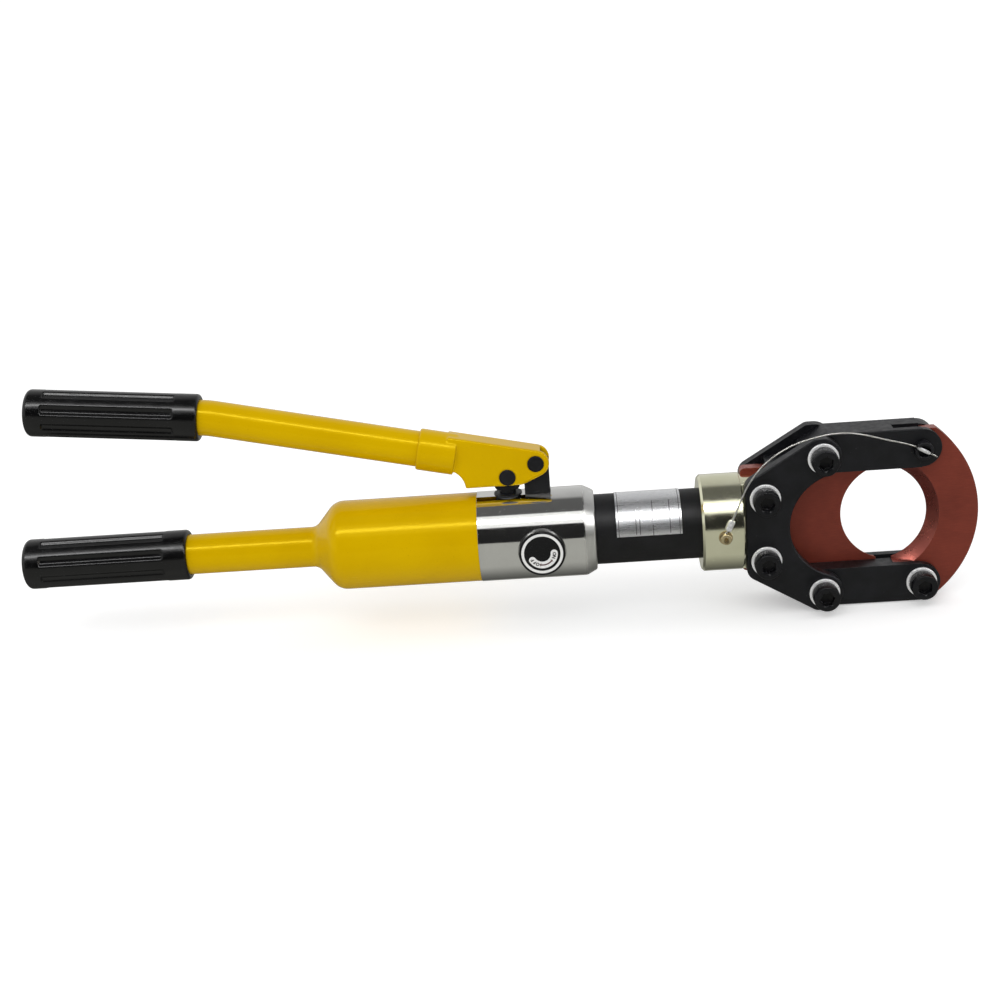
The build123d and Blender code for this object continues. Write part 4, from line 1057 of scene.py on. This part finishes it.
def place_camera():
    az, el, roll = (math.radians(v) for v in (CAMERA_AZ, CAMERA_EL, CAMERA_ROLL))
    back = Vector((math.sin(az) * math.cos(el), -math.cos(az) * math.cos(el), math.sin(el)))
    right = Vector((math.cos(az), math.sin(az), 0))
    up = back.cross(right)
    across = math.cos(roll) * right + math.sin(roll) * up
    upward = -math.sin(roll) * right + math.cos(roll) * up
    data = bpy.data.cameras.new("camera")
    data.sensor_width = SENSOR
    data.lens = CAMERA_FOCAL
    data.shift_x, data.shift_y = CAMERA_SHIFT
    cam = bpy.data.objects.new("camera", data)
    scene.collection.objects.link(cam)
    turn = Matrix((across, upward, back)).transposed()
    cam.matrix_world = Matrix.Translation(CAMERA_TARGET + back * CAMERA_DISTANCE) @ turn.to_4x4()
    scene.camera = cam


def softbox(name, place, target, width, height, power):
    """Rectangular lamp for the soft shading only. Reflections come from the surround."""
    data = bpy.data.lights.new(name, "AREA")
    data.shape = "RECTANGLE"
    data.size = width
    data.size_y = height
    data.energy = power
    obj = bpy.data.objects.new(name, data)
    scene.collection.objects.link(obj)
    obj.location = place
    obj.rotation_euler = (Vector(target) - Vector(place)).to_track_quat("-Z", "Y").to_euler()
    obj.visible_glossy = False


def grey(level):
    return (level, level, level)


def surround():
    """The studio: a dome for soft light, the softbox pattern for reflections, white to the camera."""
    world = bpy.data.worlds.new("studio")
    world.use_nodes = True
    world.cycles.sampling_method = "NONE"
    s = Nodes(world.node_tree)
    axes = s.axes(s.node("ShaderNodeTexCoord").outputs["Generated"])
    over = s.math("ARCTAN2", axes["Z"], s.math("MULTIPLY", axes["Y"], -1.0))
    share = s.math("DIVIDE", over, math.pi)
    seen = s.gradient(share, [(angle / 180, level / PEAK) for angle, level in SURROUND])
    seen = s.mix(s.map(axes["X"], -0.5, -0.62), seen, grey(SIDE_BOARD / PEAK))
    path = s.node("ShaderNodeLightPath").outputs
    colour = s.mix(path["Is Glossy Ray"], grey(DOME_LIGHT / PEAK), seen)
    colour = s.mix(path["Is Camera Ray"], colour, grey(BACKDROP / PEAK))
    back = s.node("ShaderNodeBackground", inputs={"Color": colour, "Strength": PEAK})
    output = s.node("ShaderNodeOutputWorld")
    s.tree.links.new(back.outputs[0], output.inputs["Surface"])
    scene.world = world


def floor_look():
    """Pale matt sweep. It glows a little to the camera alone, and in reflections it is a glowing grey
    board with painted shade underneath.
    """
    s = Look("floor")
    base = s.mix(s.noise(6, 3), grey(0.86), grey(0.84))
    matt = s.node("ShaderNodeBsdfDiffuse", inputs={"Color": base})
    path = s.node("ShaderNodeLightPath").outputs
    strength = s.math("MULTIPLY", path["Is Camera Ray"], FLOOR_GLOW)
    glow = s.node("ShaderNodeEmission", inputs={"Strength": strength})
    both = s.node("ShaderNodeAddShader", inputs={0: matt.outputs[0], 1: glow.outputs[0]})
    ray = s.axes(s.node("ShaderNodeNewGeometry").outputs["Incoming"])
    down = s.math("ARCTAN2", s.math("MULTIPLY", ray["Z"], -1.0), ray["Y"])
    share = s.math("ADD", s.math("DIVIDE", down, math.pi), 1.0)
    level = s.gradient(share, [(angle / 180 + 1, value) for angle, value in PAINTED_FLOOR_REFLECTION])
    # Painted reflection: to glossy rays the floor only glows, at a level set by the ray's angle, with
    # painted shade underneath.
    painted_reflection = s.node("ShaderNodeEmission", inputs={"Color": FLOOR_TINT, "Strength": level})
    inputs = {0: path["Is Glossy Ray"], 1: both.outputs[0], 2: painted_reflection.outputs[0]}
    pick = s.node("ShaderNodeMixShader", inputs=inputs)
    output = s.node("ShaderNodeOutputMaterial")
    s.tree.links.new(pick.outputs[0], output.inputs["Surface"])
    return s.material


def studio():
    """Floor, lamp and surroundings."""
    half = FLOOR_HALF
    corners = [(-half, -half, 0), (half, -half, 0), (half, half, 0), (-half, half, 0)]
    mesh = bpy.data.meshes.new("floor")
    mesh.from_pydata(corners, [], [(0, 1, 2, 3)])
    mesh.materials.append(floor_look())
    floor = bpy.data.objects.new("floor", mesh)
    floor.location = (0, 0, CAD_BOUNDS[0].z - FLOOR_GAP)
    scene.collection.objects.link(floor)
    softbox("key", (-0.5, -1.3, 1.5), (-0.23, 0, 0), 1.8, 1.0, 9)
    surround()
    scene.view_settings.view_transform = "Standard"


paint_frame()
build_grips()
socket_screws("plate_screws", "plate_bolts")
socket_screws("pivot_screw", "blade_pivot_bolt")
split_washers()
button_screw()
headed_pin("domed_hinge_pin", "hinge_pin")
headed_pin("domed_link_pin", "plunger_link_pin")
coil_spring()
cast_fork()
build_dial()
stranded_wire()
crimp_sleeves()
studio()
place_camera()
